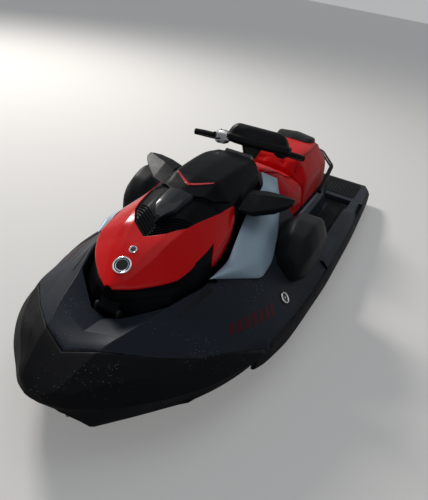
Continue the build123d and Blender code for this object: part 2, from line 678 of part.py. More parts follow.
save(seat_tail, "seat_tail")

# Grey trim along the top of the pedestal
TRIM_X = (-700.0, 280.0)
with BuildPart() as seat_trim:
    with BuildSketch(section_plane(TRIM_X[0])):
        with BuildLine():
            Polyline((PEDESTAL_TOP_HALF, 235), (PEDESTAL_TOP_HALF + 24, 235), (PEDESTAL_TOP_HALF + 12, 300),
                     (PEDESTAL_TOP_HALF, 306), close=True)
        make_face()
    extrude(amount=TRIM_X[1] - TRIM_X[0])
    add(deck.part, mode=Mode.SUBTRACT)
    mirror(about=Plane.XZ)
save(seat_trim, "seat_trim")

# Grab handle round the back of the seat
GRAB_R = 15.0
with BuildPart() as grab_handle:
    with BuildLine():
        FilletPolyline((-560, 304, 312), (-850, 292, 424), (-1006, 165, 465), (-1006, -165, 465), (-850, -292, 424),
                       (-560, -304, 312), radius=60)
    with BuildSketch(Plane(origin=(-560, 304, 312), z_dir=(-290, -12, 112))):
        Circle(GRAB_R)
    sweep()
    add(seat_trim.part, mode=Mode.SUBTRACT)
save(grab_handle, "grab_handle")

# Deck mats
MAT_THICKNESS = 6.0
with BuildPart() as footwell_mats:
    with BuildSketch(Plane.XY.offset(JOINT_Z)):
        with Locations((-378, 412), (-378, -412)):
            RectangleRounded(1216, 140, 20)
    extrude(amount=MAT_THICKNESS)
save(footwell_mats, "footwell_mats")
with BuildPart() as platform_mat:
    with BuildSketch(Plane.XY.offset(PLATFORM_Z)):
        with Locations((-1243, 0)):
            RectangleRounded(344, 1000, 40)
    extrude(amount=MAT_THICKNESS)
save(platform_mat, "platform_mat")

# Handlebar, drawn in the steering frame: +X ahead, +Y to port, +Z up the column
BAR_R = 11.0
GRIP_R = 17.0
GRIP_LENGTH = 125.0
BAR_Z = 118.0
GRIP_END = Vector(-100, 322, 98)
BAR_KNEE = Vector(0, 110, BAR_Z)
bar_points = [STEER_PLANE.from_local_coords(p) for p in (
    Vector(GRIP_END.X, -GRIP_END.Y, GRIP_END.Z), Vector(BAR_KNEE.X, -BAR_KNEE.Y, BAR_KNEE.Z), BAR_KNEE, GRIP_END)]
with BuildPart() as handlebar:
    with BuildLine():
        FilletPolyline(*bar_points, radius=70)
    with BuildSketch(Plane(origin=bar_points[0], z_dir=bar_points[1] - bar_points[0])):
        Circle(BAR_R)
    sweep()
save(handlebar, "handlebar")
with BuildPart() as steering_stem:
    with BuildSketch(STEER_PLANE.offset(-30)):
        Circle(COLUMN_R)
    extrude(amount=30 + COLLAR_TOP + SEAT_GAP)
    with BuildSketch(STEER_PLANE.offset(COLLAR_TOP + SEAT_GAP)):
        RectangleRounded(60, 52, 14)
    with BuildSketch(STEER_PLANE.offset(BAR_Z + 2)):
        RectangleRounded(46, 130, 14)
    loft()
    add(handlebar.part, mode=Mode.SUBTRACT)
save(steering_stem, "steering_stem")
with BuildPart() as grips:
    for end, knee in ((bar_points[0], bar_points[1]), (bar_points[3], bar_points[2])):
        inward = (knee - end).normalized()
        with BuildSketch(Plane(origin=end, z_dir=inward)):
            Circle(GRIP_R)
            Circle(BAR_R, mode=Mode.SUBTRACT)
        extrude(amount=GRIP_LENGTH)
save(grips, "grips")
with BuildPart() as control_pods:
    for end, knee in ((bar_points[0], bar_points[1]), (bar_points[3], bar_points[2])):
        inward = (knee - end).normalized()
        plane = Plane(origin=end + inward * (GRIP_LENGTH + 2), x_dir=STEER_AXIS, z_dir=inward)
        with BuildSketch(plane):
            with Locations((-4, 0)):
                RectangleRounded(58, 62, 16)
            Circle(BAR_R, mode=Mode.SUBTRACT)
        with BuildSketch(plane.offset(64)):
            RectangleRounded(44, 46, 14)
            Circle(BAR_R, mode=Mode.SUBTRACT)
        loft()
save(control_pods, "control_pods")
PAD_LEAN = 7.27
PAD_TOP = (HEIGHT - DRAFT - STEER_Z - PAD_LEAN) / cos(tilt)
with BuildPart() as bar_pad:
    for level, deep, wide, radius in ((BAR_Z + BAR_R + SEAT_GAP, 128, 270, 30), (BAR_Z + 46, 108, 240, 26),
                                      (PAD_TOP, 36, 110, 14)):
        with BuildSketch(STEER_PLANE.offset(level)):
            RectangleRounded(deep, wide, radius)
    loft(ruled=True)
save(bar_pad, "bar_pad")

# Engine block on the bay floor
with BuildPart() as engine_block:
    with BuildSketch(Plane.XY.offset(BAY_FLOOR_Z)):
        with Locations((-300, 0)):
            Rectangle(500, 340)
    extrude(amount=400)
save(engine_block, "engine_block")

# Jet pump: housing and venturi on the tunnel's front wall
PUMP_OUTER_R = 92.0
PUMP_BORE_R = 80.0
HOUSING_REAR_X = -1185.0
VENTURI_NECK_X = -1250.0
VENTURI_END_X = -1300.0
NOZZLE_PIVOT_X = -1285.0
NOZZLE_TURN = 20.0
NOZZLE_LENGTH = 110.0
BUCKET_PIVOT_X = -1235.0
PIN_R = 6.0
with BuildPart() as pump_housing:
    with BuildSketch(section_plane(HOUSING_REAR_X)):
        with Locations((0, PUMP_Z)):
            Circle(PUMP_OUTER_R)
            Circle(PUMP_BORE_R, mode=Mode.SUBTRACT)
    extrude(amount=TUNNEL_X - HOUSING_REAR_X)
save(pump_housing, "pump_housing")
with BuildPart() as pump_venturi:
    with BuildSketch(side_plane(0)):
        with BuildLine():
            Polyline((HOUSING_REAR_X, PUMP_Z + PUMP_BORE_R), (HOUSING_REAR_X, PUMP_Z + PUMP_OUTER_R),
                     (HOUSING_REAR_X - 10, PUMP_Z + PUMP_OUTER_R), (VENTURI_NECK_X, PUMP_Z + 54),
                     (VENTURI_END_X, PUMP_Z + 48), (VENTURI_END_X, PUMP_Z + 42), (VENTURI_NECK_X, PUMP_Z + 46),
                     close=True)
        make_face()
    revolve(axis=Axis((0, 0, PUMP_Z), (1, 0, 0)))
    with BuildSketch(Plane.XY.offset(PUMP_Z + 45)):
        with Locations((NOZZLE_PIVOT_X, 0)):
            Circle(PIN_R)
    extrude(amount=27)
    with BuildSketch(Plane.XY.offset(PUMP_Z - 45)):
        with Locations((NOZZLE_PIVOT_X, 0)):
            Circle(PIN_R)
    extrude(amount=-27)
    for side in (1, -1):
        with BuildSketch(side_plane(side * 60)):
            with Locations((BUCKET_PIVOT_X, PUMP_Z)):
                Circle(14)
        extrude(amount=-38 * side)
        with BuildSketch(side_plane(side * 50)):
            with Locations((BUCKET_PIVOT_X, PUMP_Z)):
                Circle(PIN_R)
        extrude(amount=-58 * side)
save(pump_venturi, "pump_venturi")

# Steering nozzle, turned with the handlebar
nozzle_turn = radians(NOZZLE_TURN)
NOZZLE_AFT = Vector(-cos(nozzle_turn), sin(nozzle_turn), 0)
NOZZLE_PLANE = Plane(origin=(NOZZLE_PIVOT_X, 0, PUMP_Z), x_dir=NOZZLE_AFT, z_dir=NOZZLE_AFT.cross(Vector(0, 0, 1)))
with BuildPart() as nozzle:
    with BuildSketch(NOZZLE_PLANE):
        with BuildLine():
            Polyline((0, 66), (0, 73), (24, 73), (NOZZLE_LENGTH, 50), (NOZZLE_LENGTH, 44), (24, 66), close=True)
        make_face()
    revolve(axis=Axis(NOZZLE_PLANE.origin, NOZZLE_AFT))
    for level in (66.5, -73.5):
        with BuildSketch(Plane(origin=(NOZZLE_PIVOT_X, 0, PUMP_Z + level), x_dir=NOZZLE_AFT, z_dir=(0, 0, 1))):
            with Locations((4, 0)):
                RectangleRounded(36, 30, 10)
        extrude(amount=7)
    with BuildSketch(Plane(origin=(NOZZLE_PIVOT_X, 0, PUMP_Z - 100), x_dir=NOZZLE_AFT, z_dir=(0, 0, 1))):
        Circle(PIN_R + SHAFT_FIT)
    extrude(amount=200, mode=Mode.SUBTRACT)
save(nozzle, "nozzle")

# Reverse bucket, stowed above the nozzle
BUCKET_R = 176.0
BUCKET_WALL = 11.0
BUCKET_HALF = 109.0
ARM_THICKNESS = 8.0
BUCKET_FROM, BUCKET_TO = 58.0, 118.0


def bucket_point(radius, angle):
    """A point on the bucket's arc, its angle measured upwards from straight aft."""
    return (BUCKET_PIVOT_X - radius * cos(radians(angle)), PUMP_Z + radius * sin(radians(angle)))


mid_angle = (BUCKET_FROM + BUCKET_TO) / 2
outer_r = BUCKET_R + BUCKET_WALL
with BuildPart() as reverse_bucket:
    with BuildSketch(side_plane(0)):
        with BuildLine():
            ThreePointArc(bucket_point(outer_r, BUCKET_FROM), bucket_point(outer_r, mid_angle),
                          bucket_point(outer_r, BUCKET_TO))
            Line(bucket_point(outer_r, BUCKET_TO), bucket_point(BUCKET_R, BUCKET_TO))
            ThreePointArc(bucket_point(BUCKET_R, BUCKET_TO), bucket_point(BUCKET_R, mid_angle),
                          bucket_point(BUCKET_R, BUCKET_FROM))
            Line(bucket_point(BUCKET_R, BUCKET_FROM), bucket_point(outer_r, BUCKET_FROM))
        make_face()
    extrude(amount=BUCKET_HALF, both=True)
    for side in (1, -1):
        with BuildSketch(side_plane(side * (BUCKET_HALF - ARM_THICKNESS))):
            with BuildLine():
                ThreePointArc(bucket_point(outer_r, BUCKET_FROM), bucket_point(outer_r, mid_angle),
                              bucket_point(outer_r, BUCKET_TO))
                Polyline(bucket_point(outer_r, BUCKET_TO), bucket_point(16, BUCKET_TO + 60),
                         bucket_point(16, BUCKET_FROM - 60), bucket_point(outer_r, BUCKET_FROM))
            make_face()
            with Locations((BUCKET_PIVOT_X, PUMP_Z)):
                Circle(18)
                Circle(PIN_R + SHAFT_FIT, mode=Mode.SUBTRACT)
        extrude(amount=-ARM_THICKNESS * side)
save(reverse_bucket, "reverse_bucket")

# Impeller and its drive shaft
HUB_R = 22.0
BLADE_COUNT = 4
BLADE_TIP_R = PUMP_BORE_R - RUN_GAP
IMPELLER_X = -1100.0
with BuildPart() as impeller:
    with BuildSketch(section_plane(IMPELLER_X - 45)):
        with Locations((0, PUMP_Z)):
            Circle(HUB_R)
    extrude(amount=90)
    with BuildSketch(section_plane(IMPELLER_X)):
        with Locations((0, PUMP_Z)):
            Circle(SHAFT_R)
    extrude(amount=SHAFT_FRONT_X - IMPELLER_X)
    for k in range(BLADE_COUNT):
        a = radians(360 * k / BLADE_COUNT)
        out = Vector(0, cos(a), sin(a))
        around = Vector(0, -sin(a), cos(a))
        blade_faces = []
        for radius, pitch, chord in ((HUB_R - 4, 55, 66), (BLADE_TIP_R, 28, 92)):
            chordwise = Vector(1, 0, 0) * sin(radians(pitch)) + around * cos(radians(pitch))
            with BuildSketch(Plane(origin=Vector(IMPELLER_X, 0, PUMP_Z) + out * radius, x_dir=chordwise, z_dir=out),
                             mode=Mode.PRIVATE) as face:
                Rectangle(chord, 5)
            blade_faces.append(face.sketch)
        loft(blade_faces, ruled=True)
    with BuildSketch(section_plane(IMPELLER_X - 60)):
        with Locations((0, PUMP_Z)):
            Circle(PUMP_BORE_R + 40)
            Circle(BLADE_TIP_R, mode=Mode.SUBTRACT)
    extrude(amount=120, mode=Mode.SUBTRACT)
save(impeller, "impeller")

# Ride plate under the pump, which carries on the V bottom, and the grate over the intake
TUNNEL_EDGE_Z = -DRAFT + TUNNEL_HALF * (DRAFT - 80) / 512
with BuildPart() as ride_plate:
    with BuildSketch(section_plane(TRANSOM_X)):
        with BuildLine():
            Polyline(*both_sides([(0, -DRAFT), (TUNNEL_HALF, TUNNEL_EDGE_Z), (TUNNEL_HALF, TUNNEL_EDGE_Z + 8),
                                  (0, -DRAFT + 8)]), close=True)
        make_face()
    extrude(amount=TUNNEL_X - TRANSOM_X)
save(ride_plate, "ride_plate")
GRATE_BARS = 5
GRATE_Z = -238.0
with BuildPart() as intake_grate:
    with BuildSketch(Plane.XY.offset(GRATE_Z)):
        with Locations((-790, 0)):
            Rectangle(380, 2 * DUCT_HALF)
        with Locations((-790, 0)):
            with GridLocations(0, 2 * DUCT_HALF / (GRATE_BARS + 1), 1, GRATE_BARS + 1):
                Rectangle(340, 2 * DUCT_HALF / (GRATE_BARS + 1) - 9, mode=Mode.SUBTRACT)
    extrude(amount=9)
save(intake_grate, "intake_grate")

# Sponsons on the hull's sides, aft
with BuildPart() as sponsons:
    loft([across(x, [(480, low), (outer - 12, low), (outer, low + 22), (outer - 10, high), (480, high)])
          for x, outer, low, high in [(-1390, 556, -62, 6), (-1000, 566, -58, 14), (-800, 556, -44, -6)]], ruled=True)
    add(hull.part, mode=Mode.SUBTRACT)
    mirror(about=Plane.XZ)
save(sponsons, "sponsons")


def ring(piece, name, planes, radius, wire_r):
    """Fasten round eyes to a piece: a ring on each plane, less the piece itself."""
    with BuildPart() as eyes:
        for plane in planes:
            with BuildSketch(Plane(origin=plane.origin + plane.x_dir * radius, x_dir=plane.x_dir,
                                   z_dir=plane.y_dir)):
                Circle(wire_r)
            revolve(axis=Axis(plane.origin, plane.z_dir))
        add(piece.part, mode=Mode.SUBTRACT)
    save(eyes, name)
    return eyes


bow_eye = ring(hull, "bow_eye", [Plane(origin=(1690, 0, 40), x_dir=(1, 0, 0), z_dir=(0, 1, 0))], 18, 5)
stern_eyes = ring(hull, "stern_eyes", [
    Plane(origin=(TRANSOM_X, side * 430, 40), x_dir=(-1, 0, 0), z_dir=(0, 0, 1)) for side in (1, -1)], 15, 5)
tow_eye = ring(deck, "tow_eye", [Plane(origin=(-1037, 0, PLATFORM_Z + 4), x_dir=(0, 0, 1), z_dir=(0, 1, 0))], 18, 6)

# Mooring rings on the deck's flanks
RING_PLACE = Vector(790, 500, 276)
mooring_rings = ring(deck, "mooring_rings", [
    Plane(origin=(RING_PLACE.X, side * RING_PLACE.Y, RING_PLACE.Z + 4), x_dir=(1, 0, 0), z_dir=(0, side * 0.72, 0.69))
    for side in (1, -1)], 26, 6)

for piece_name, piece in (("hull", hull), ("deck", deck), ("bumper", front_bumper), ("hood_body", hood_body)):
    print(piece_name, piece.part.is_valid, round(piece.part.volume / 1e9, 3), len(piece.solids()))
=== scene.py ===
"""Looks of a three-seat personal watercraft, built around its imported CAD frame.

Tables are in millimetres and meshes in metres: +X to the bow, +Y to port, +Z up, origin on the
centreline at the waterline.
"""
import json
import math

import bmesh
import bpy
import numpy as np
from mathutils import Matrix, Vector


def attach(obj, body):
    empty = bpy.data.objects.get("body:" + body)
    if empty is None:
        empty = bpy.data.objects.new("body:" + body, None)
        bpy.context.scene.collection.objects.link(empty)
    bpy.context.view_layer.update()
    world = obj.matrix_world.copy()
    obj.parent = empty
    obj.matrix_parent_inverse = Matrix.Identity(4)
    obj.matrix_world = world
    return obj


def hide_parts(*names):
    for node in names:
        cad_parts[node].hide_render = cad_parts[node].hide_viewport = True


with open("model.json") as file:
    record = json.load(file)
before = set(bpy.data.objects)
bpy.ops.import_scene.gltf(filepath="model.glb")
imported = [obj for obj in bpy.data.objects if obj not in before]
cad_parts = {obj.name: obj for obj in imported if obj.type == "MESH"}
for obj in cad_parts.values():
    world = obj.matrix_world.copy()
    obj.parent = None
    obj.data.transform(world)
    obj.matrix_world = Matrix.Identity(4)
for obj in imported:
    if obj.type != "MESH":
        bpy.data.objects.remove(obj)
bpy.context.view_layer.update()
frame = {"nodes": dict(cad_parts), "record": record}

bl_info = {
    "name": "Personal watercraft looks",
    "version": (1, 0, 0),
    "blender": (4, 5, 0),
    "location": "View3D > Sidebar > Watercraft",
    "description": "Builds the looks of a personal watercraft around its CAD frame",
    "category": "Object",
}

MM = 0.001
# Points nearer than this become one, in metres: in the meshes made here, and in copies of the CAD's
SAME_POINT = 0.00002
SAME_CAD_POINT = 0.00005
# Factors that carry points to the centreline, and across it
CENTRED = np.array([1, 0, 1])
ACROSS = np.array([1, -1, 1])


# Surfaces

def cubic_rows(rows, places):
    """A table's columns at new places along its first one, by a monotone cubic.

    The slope at a row is the harmonic mean of the secants on both sides, or 0 where they differ in sign.
    """
    table = np.array(sorted(map(tuple, rows)), dtype=float)
    x, y = table[:, 0], table[:, 1:]
    secants = np.diff(y, axis=0) / np.diff(x)[:, None]
    a, b = secants[:-1], secants[1:]
    together = a * b > 0
    inner = np.where(together, 2 * a * b / np.where(together, a + b, 1), 0.0)
    slopes = np.vstack([secants[:1], inner, secants[-1:]])
    places = np.asarray(places, dtype=float)
    i = np.clip(np.searchsorted(x, places, side="right") - 1, 0, len(x) - 2)
    step = (x[i + 1] - x[i])[..., None]
    t = (places - x[i])[..., None] / step
    return (y[i] * (1 - t)**2 * (1 + 2 * t) + y[i + 1] * t**2 * (3 - 2 * t)
            + step * (slopes[i] * t * (1 - t)**2 - slopes[i + 1] * t**2 * (1 - t)))


def rounded_line(points, radius, steps=4):
    """Open lines (..., corner, coordinate) whose inner corners are cut back and bridged by curves.

    From A and B, a cut c before and behind corner P, the curve is (1-t)^2 A + 2t(1-t) P + t^2 B, and one more
    point stands 1.8 c away on each leg, so that the flats stay flat in smooth shading.
    """
    points = np.asarray(points, dtype=float)
    corner = points[..., 1:-1, :]
    before, after = points[..., :-2, :] - corner, points[..., 2:, :] - corner
    long_before = np.linalg.norm(before, axis=-1, keepdims=True)
    long_after = np.linalg.norm(after, axis=-1, keepdims=True)
    cut = np.minimum(np.broadcast_to(np.asarray(radius, dtype=float), corner.shape[:-1])[..., None],
                     0.26 * np.minimum(long_before, long_after))
    back = before / np.maximum(long_before, 1e-9) * cut
    ahead = after / np.maximum(long_after, 1e-9) * cut
    t = np.linspace(0, 1, steps + 1)[:, None]
    curve = corner[..., None, :] + (1 - t)**2 * back[..., None, :] + t**2 * ahead[..., None, :]
    near, far = ((corner + 1.8 * leg)[..., None, :] for leg in (back, ahead))
    full = np.concatenate([near, curve, far], axis=-2)
    full = full.reshape(*full.shape[:-3], -1, points.shape[-1])
    return np.concatenate([points[..., :1, :], full, points[..., -1:, :]], axis=-2)


def columns_at(rows, places):
    """A table's columns at new places along its first one, one array each."""
    return np.moveaxis(cubic_rows(rows, places), -1, 0)


def matched(*values):
    """Values as float arrays of one shape."""
    return np.broadcast_arrays(*(np.asarray(value, dtype=float) for value in values))


def corner_stack(*corners):
    """Corners, each given as its two coordinates, as one array (..., corner, coordinate)."""
    flat = np.stack(matched(*(value for corner in corners for value in corner)), -1)
    return flat.reshape(*flat.shape[:-1], len(corners), 2)


def both_sides(half):
    """Port half sections, listed from the centreline outwards, carried on to starboard: y becomes -y."""
    starboard = half[..., ::-1, :] * ACROSS
    return np.concatenate([starboard[..., :-1, :], half], axis=-2)


def stations(x, section):
    """Rows of (x, y, z) from places along the craft and sections of (y, z)."""
    x = np.broadcast_to(np.asarray(x, dtype=float)[..., None], section.shape[:-1])
    return np.concatenate([x[..., None], section], axis=-1)


def smooth_path(points, count):
    """A smooth line through points, at count places.

    Between P1 and P2, with neighbours P0 and P3 and t from 0 to 1, it is half of
    2 P1 + t (P2 - P0) + t^2 (2 P0 - 5 P1 + 4 P2 - P3) + t^3 (3 P1 - P0 - 3 P2 + P3).
    """
    points = np.asarray(points, dtype=float)
    line = np.vstack([2 * points[0] - points[1], points, 2 * points[-1] - points[-2]])
    t = np.linspace(0, len(points) - 1, count)
    i = np.minimum(t.astype(int), len(points) - 2)
    t = (t - i)[:, None]
    p0, p1, p2, p3 = (line[i + k] for k in range(4))
    return 0.5 * (2 * p1 + t * (p2 - p0) + t**2 * (2 * p0 - 5 * p1 + 4 * p2 - p3)
                  + t**3 * (3 * p1 - p0 - 3 * p2 + p3))


def tube(name, path, radius, around=14, up=(0.0, 0.0, 1.0), flat=1.0):
    """A bar along a path: at each point the ring r (cos a N + flat sin a B), N and B square to the path."""
    ahead = np.gradient(path, axis=0)
    ahead /= np.linalg.norm(ahead, axis=1, keepdims=True)
    side = np.cross(ahead, np.asarray(up, dtype=float))
    side /= np.linalg.norm(side, axis=1, keepdims=True)
    rise = np.cross(side, ahead)
    a = np.linspace(0, 2 * math.pi, around, endpoint=False)[None, :, None]
    r = np.broadcast_to(np.asarray(radius, dtype=float), (len(path),))[:, None, None]
    grid = path[:, None] + r * (np.cos(a) * side[:, None] + flat * np.sin(a) * rise[:, None])
    return surface(name, grid, around=True, ends=(True, True))


def turned(name, centre, axis, profile, steps=48, closed=(True, True)):
    """A profile of (distance along the axis, radius) turned about the axis through centre."""
    axis = np.asarray(axis, dtype=float) / np.linalg.norm(axis)
    side = np.cross(axis, (0.0, 1.0, 0.02))
    side /= np.linalg.norm(side)
    rise = np.cross(axis, side)
    profile = np.asarray(profile, dtype=float)
    a = np.linspace(0, 2 * math.pi, steps, endpoint=False)[None, :, None]
    grid = (np.asarray(centre, dtype=float) + profile[:, None, :1] * axis
            + profile[:, None, 1:] * (np.cos(a) * side + np.sin(a) * rise))
    return surface(name, grid, around=True, ends=closed)


def rounded_loop(points, radius, steps=4):
    """A closed line (..., corner, coordinate) with its corners rounded as rounded_line does."""
    points = np.asarray(points, dtype=float)
    return rounded_line(np.concatenate([points[..., -1:, :], points, points[..., :1, :]], axis=-2),
                        radius, steps)[..., 1:-1, :]


def linked(name, data):
    """A new object that holds the data, linked to the scene."""
    thing = bpy.data.objects.new(name, data)
    bpy.context.scene.collection.objects.link(thing)
    return thing


def finish_mesh(name, mesh, body, material, node, sharp=26.0):
    """Make a mesh an object that rides on a body and stands for a node, shaded smooth but at sharp edges."""
    thing = linked(name, mesh)
    mesh.shade_smooth()
    mesh.set_sharp_from_angle(angle=math.radians(sharp))
    mesh.materials.clear()
    mesh.materials.append(material)
    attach(thing, body)
    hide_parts(node)
    return thing


def surface(name, grid, around=False, ends=(False, False), inside=None):
    """A mesh from a grid (row, column, xyz) in mm: coincident points become one and faces look outwards.

    around joins the last column to the first, ends close the first and last rows with one face each, and
    inside is a point that the faces of an open surface look away from.
    """
    grid = np.asarray(grid, dtype=float)
    rows, columns = grid.shape[:2]
    index = np.arange(rows * columns).reshape(rows, columns)
    if around:
        index = np.concatenate([index, index[:, :1]], axis=1)
    quads = np.stack([index[:-1, :-1], index[:-1, 1:], index[1:, 1:], index[1:, :-1]], axis=-1).reshape(-1, 4)
    faces = quads.tolist()
    for closed, row in zip(ends, (0, rows - 1)):
        if closed:
            faces.append([int(i) for i in np.arange(columns) + row * columns])
    mesh = bpy.data.meshes.new(name)
    mesh.from_pydata((grid.reshape(-1, 3) * MM).tolist(), [], faces)
    shell = bmesh.new()
    shell.from_mesh(mesh)
    bmesh.ops.remove_doubles(shell, verts=shell.verts, dist=SAME_POINT)
    bmesh.ops.dissolve_degenerate(shell, edges=shell.edges, dist=SAME_POINT)
    bmesh.ops.recalc_face_normals(shell, faces=shell.faces)
    if inside is not None:
        centre = Vector(inside) * MM
        if sum((f.calc_center_median() - centre).dot(f.normal) * f.calc_area() for f in shell.faces) < 0:
            bmesh.ops.reverse_faces(shell, faces=shell.faces)
    shell.to_mesh(mesh)
    shell.free()
    return mesh


def joined(name, meshes):
    """Several meshes made one, coincident points merged."""
    whole = bmesh.new()
    for mesh in meshes:
        whole.from_mesh(mesh)
        bpy.data.meshes.remove(mesh)
    bmesh.ops.remove_doubles(whole, verts=whole.verts, dist=SAME_POINT)
    mesh = bpy.data.meshes.new(name)
    whole.to_mesh(mesh)
    whole.free()
    return mesh


def mirrored(mesh):
    """A mesh and its mirror image across the centreline, faces turned back outwards."""
    whole = bmesh.new()
    whole.from_mesh(mesh)
    copy = bmesh.ops.duplicate(whole, geom=whole.verts[:] + whole.edges[:] + whole.faces[:])["geom"]
    for vertex in (g for g in copy if isinstance(g, bmesh.types.BMVert)):
        vertex.co.y = -vertex.co.y
    bmesh.ops.reverse_faces(whole, faces=[g for g in copy if isinstance(g, bmesh.types.BMFace)])
    whole.to_mesh(mesh)
    whole.free()
    return mesh


def modified(thing, kind, **settings):
    """Add a modifier to an object and set it up."""
    modifier = thing.modifiers.new(kind.title(), kind)
    for key, value in settings.items():
        setattr(modifier, key, value)
    return modifier


def walled(thing, thickness, bevel=0.0):
    """Give an open surface a wall inwards, and its rims a small bevel."""
    modified(thing, "SOLIDIFY", thickness=thickness * MM, offset=-1.0)
    if bevel:
        modified(thing, "BEVEL", width=bevel * MM, segments=2, limit_method="ANGLE",
                 angle_limit=math.radians(50))
    return thing


def merged_copy(node, name):
    """A CAD node's mesh copied, with its loose triangles merged."""
    mesh = frame["nodes"][node].data.copy()
    mesh.name = name
    shell = bmesh.new()
    shell.from_mesh(mesh)
    bmesh.ops.remove_doubles(shell, verts=shell.verts, dist=SAME_CAD_POINT)
    bmesh.ops.dissolve_limit(shell, angle_limit=math.radians(1.2), verts=shell.verts, edges=shell.edges)
    shell.to_mesh(mesh)
    shell.free()
    return mesh


def softened_copy(node, body, bevel):
    """A CAD node's merged copy in its own look, its hard edges bevelled."""
    name = node + "_moulding"
    thing = finish_mesh(name, merged_copy(node, name), body, look(SLOT_OF[node]), node)
    if bevel:
        modified(thing, "BEVEL", width=bevel * MM, segments=3, limit_method="ANGLE",
                 angle_limit=math.radians(34), harden_normals=True)


SLOT_OF = {part["node"]: part["material_slot"] for part in frame["record"]["subparts"]}


# Tables of the craft's forms

JOINT_Z = 110.0
FOOTWELL_Z = JOINT_Z + 1
FORE_X = 240.0
BOW_X = 1868.0
STERN_X = -1450.0
TRAY_FLOOR_Z = 352.0
TRAY_FRONT_X = 1509.0
TRAY_REAR_X = 430.0
TRAY_OUTLINE = [(1509, 57), (1389, 200), (1250, 246), (1060, 268), (860, 238), (430, 192)]

# x, centre z, ridge y and z, knuckle y and z, gunwale y and z, edge y and z, foot y
BOW_STATIONS = [
    (1868, 300, 24, 302, 30, 298, 36, 293, 42, 272, 20),
    (1842, 317, 68, 324, 78, 316, 87, 306, 95, 262, 50),
    (1780, 352, 88, 358, 115, 342, 140, 320, 168, 250, 118),
    (1689, 392, 109, 398, 178, 368, 228, 338, 270, 244, 195),
    (1566, 380, 150, 424, 252, 354, 322, 312, 370, 238, 292),
    (1436, 366, 190, 440, 292, 364, 388, 312, 443, 222, 385),
    (1250, 372, 258, 466, 336, 380, 452, 285, 508, 202, 468),
    (1100, 372, 300, 458, 362, 386, 508, 255, 550, 192, 510),
    (878, 372, 376, 386, 392, 378, 545, 230, 588, 188, 548),
    (550, 368, 376, 374, 396, 364, 562, 214, 608, 188, 575),
    (FORE_X, 360, 376, 366, 396, 352, 568, 210, 600, 188, 588),
]
# Radii of the section's corners, from the tray's foot out to the edge
BOW_RADII = (3.0, 3.0, 3.5, 5.0, 8.0)
# x and half-breadth of the line where bumper and deck meet
PARTING_LINE = [(1736, 0), (1689, 109), (1566, 252), (1436, 380), (1250, 468), (1100, 528)]
# x and z of the stem's cut below the bumper
STEM_CUT = [(1000, 110), (1752, 110), (1822, 214), (1868, 266)]
# x, outer half-breadth, top z
RAIL_STATIONS = [(1150, 530, 172), (1100, 549, 196), (1030, 565, 214), (878, 590, 211), (550, 610, 202),
                 (240, 623, 198), (-300, 625, 192), (-900, 612, 172), (-1300, 592, 148), (STERN_X, 556, 136)]
RAIL_DEPTH = 22.0


def line_at(rows, x):
    """Straight runs between rows of (x, value)."""
    table = np.array(sorted(rows), dtype=float)
    return np.interp(x, table[:, 0], table[:, 1])


def bow_section(x, tray=False):
    """The port half section at each x, corners rounded: centre or tray, ridge, knuckle, gunwale, edge."""
    (centre_z, ridge_y, ridge_z, knuckle_y, knuckle_z, gunwale_y, gunwale_z, edge_y, edge_z,
     foot_y) = columns_at(BOW_STATIONS, x)
    foot_z = np.minimum(line_at(STEM_CUT, x), edge_z - 5)
    inner_y = line_at(TRAY_OUTLINE, x) if tray else 0.0
    inner_z = centre_z + (ridge_z - centre_z) * inner_y / ridge_y
    floor_z = TRAY_FLOOR_Z if tray else centre_z
    corners = corner_stack(
        (inner_y, floor_z), (inner_y, inner_z), (ridge_y, ridge_z), (knuckle_y, knuckle_z),
        (gunwale_y, gunwale_z), (edge_y, edge_z), (foot_y, foot_z))
    return rounded_line(corners, BOW_RADII)


def bow_columns(start, stop, rows, tray=False, crowd=1.0):
    """A grid on the bow whose column j runs from start[j] to stop[j] along the craft."""
    share = np.linspace(0, 1, rows)[:, None]**crowd
    x = start + share * (stop - start)
    section = np.diagonal(bow_section(x, tray), axis1=1, axis2=2).swapaxes(1, 2)
    return np.concatenate([x[..., None], section], axis=-1)


def parting_places():
    """Where each column of the bow's section crosses the parting line."""
    x = np.linspace(1100, 1736, 1300)
    beyond = bow_section(x)[..., 0] > line_at(PARTING_LINE, x)[:, None]
    last_inside = len(x) - 1 - np.argmax(~beyond[::-1], axis=0)
    return np.where(beyond.all(axis=0), x[0], x[last_inside])


def whole_grid(port):
    """A port grid (row, column, xyz) from the centreline outwards, with its mirror image ahead of it."""
    starboard = port[:, ::-1] * ACROSS
    return np.concatenate([starboard, port], axis=1)


def dropped(row, level):
    """A row of a grid moved straight down to a level."""
    low = row.copy()
    low[..., 2] = level
    return low


def deck_bow_mesh():
    """The deck ahead of the footwells: the bow's section out to the parting line, the tray sunk in it."""
    stop = parting_places() - 2.5
    columns = len(stop)
    front = np.minimum(stop, TRAY_FRONT_X)
    rear, tray_rear = np.full(columns, FORE_X), np.full(columns, TRAY_REAR_X)
    aft = bow_columns(rear, tray_rear, 8)
    wall = dropped(aft[:1], JOINT_Z)
    middle = bow_columns(tray_rear, np.minimum(front, 1100.0), 40, tray=True)
    fore = bow_columns(np.minimum(front, 1100.0), front, 36, tray=True)[1:]
    nose = bow_columns(front, stop, 16)
    grid = np.concatenate([wall, aft, middle, fore, nose])
    return surface("deck_bow", whole_grid(grid), inside=(900, 0, 200))


def bumper_mesh():
    """The bumper: the bow's section from the parting line to the nose."""
    start = parting_places() + 1.0
    grid = bow_columns(start, np.full(len(start), BOW_X), 46, crowd=0.8)
    grid = np.concatenate([grid, grid[:, -1:] * CENTRED], axis=1)
    return surface("bumper", whole_grid(grid), ends=(False, True), inside=(1500, 0, 200))


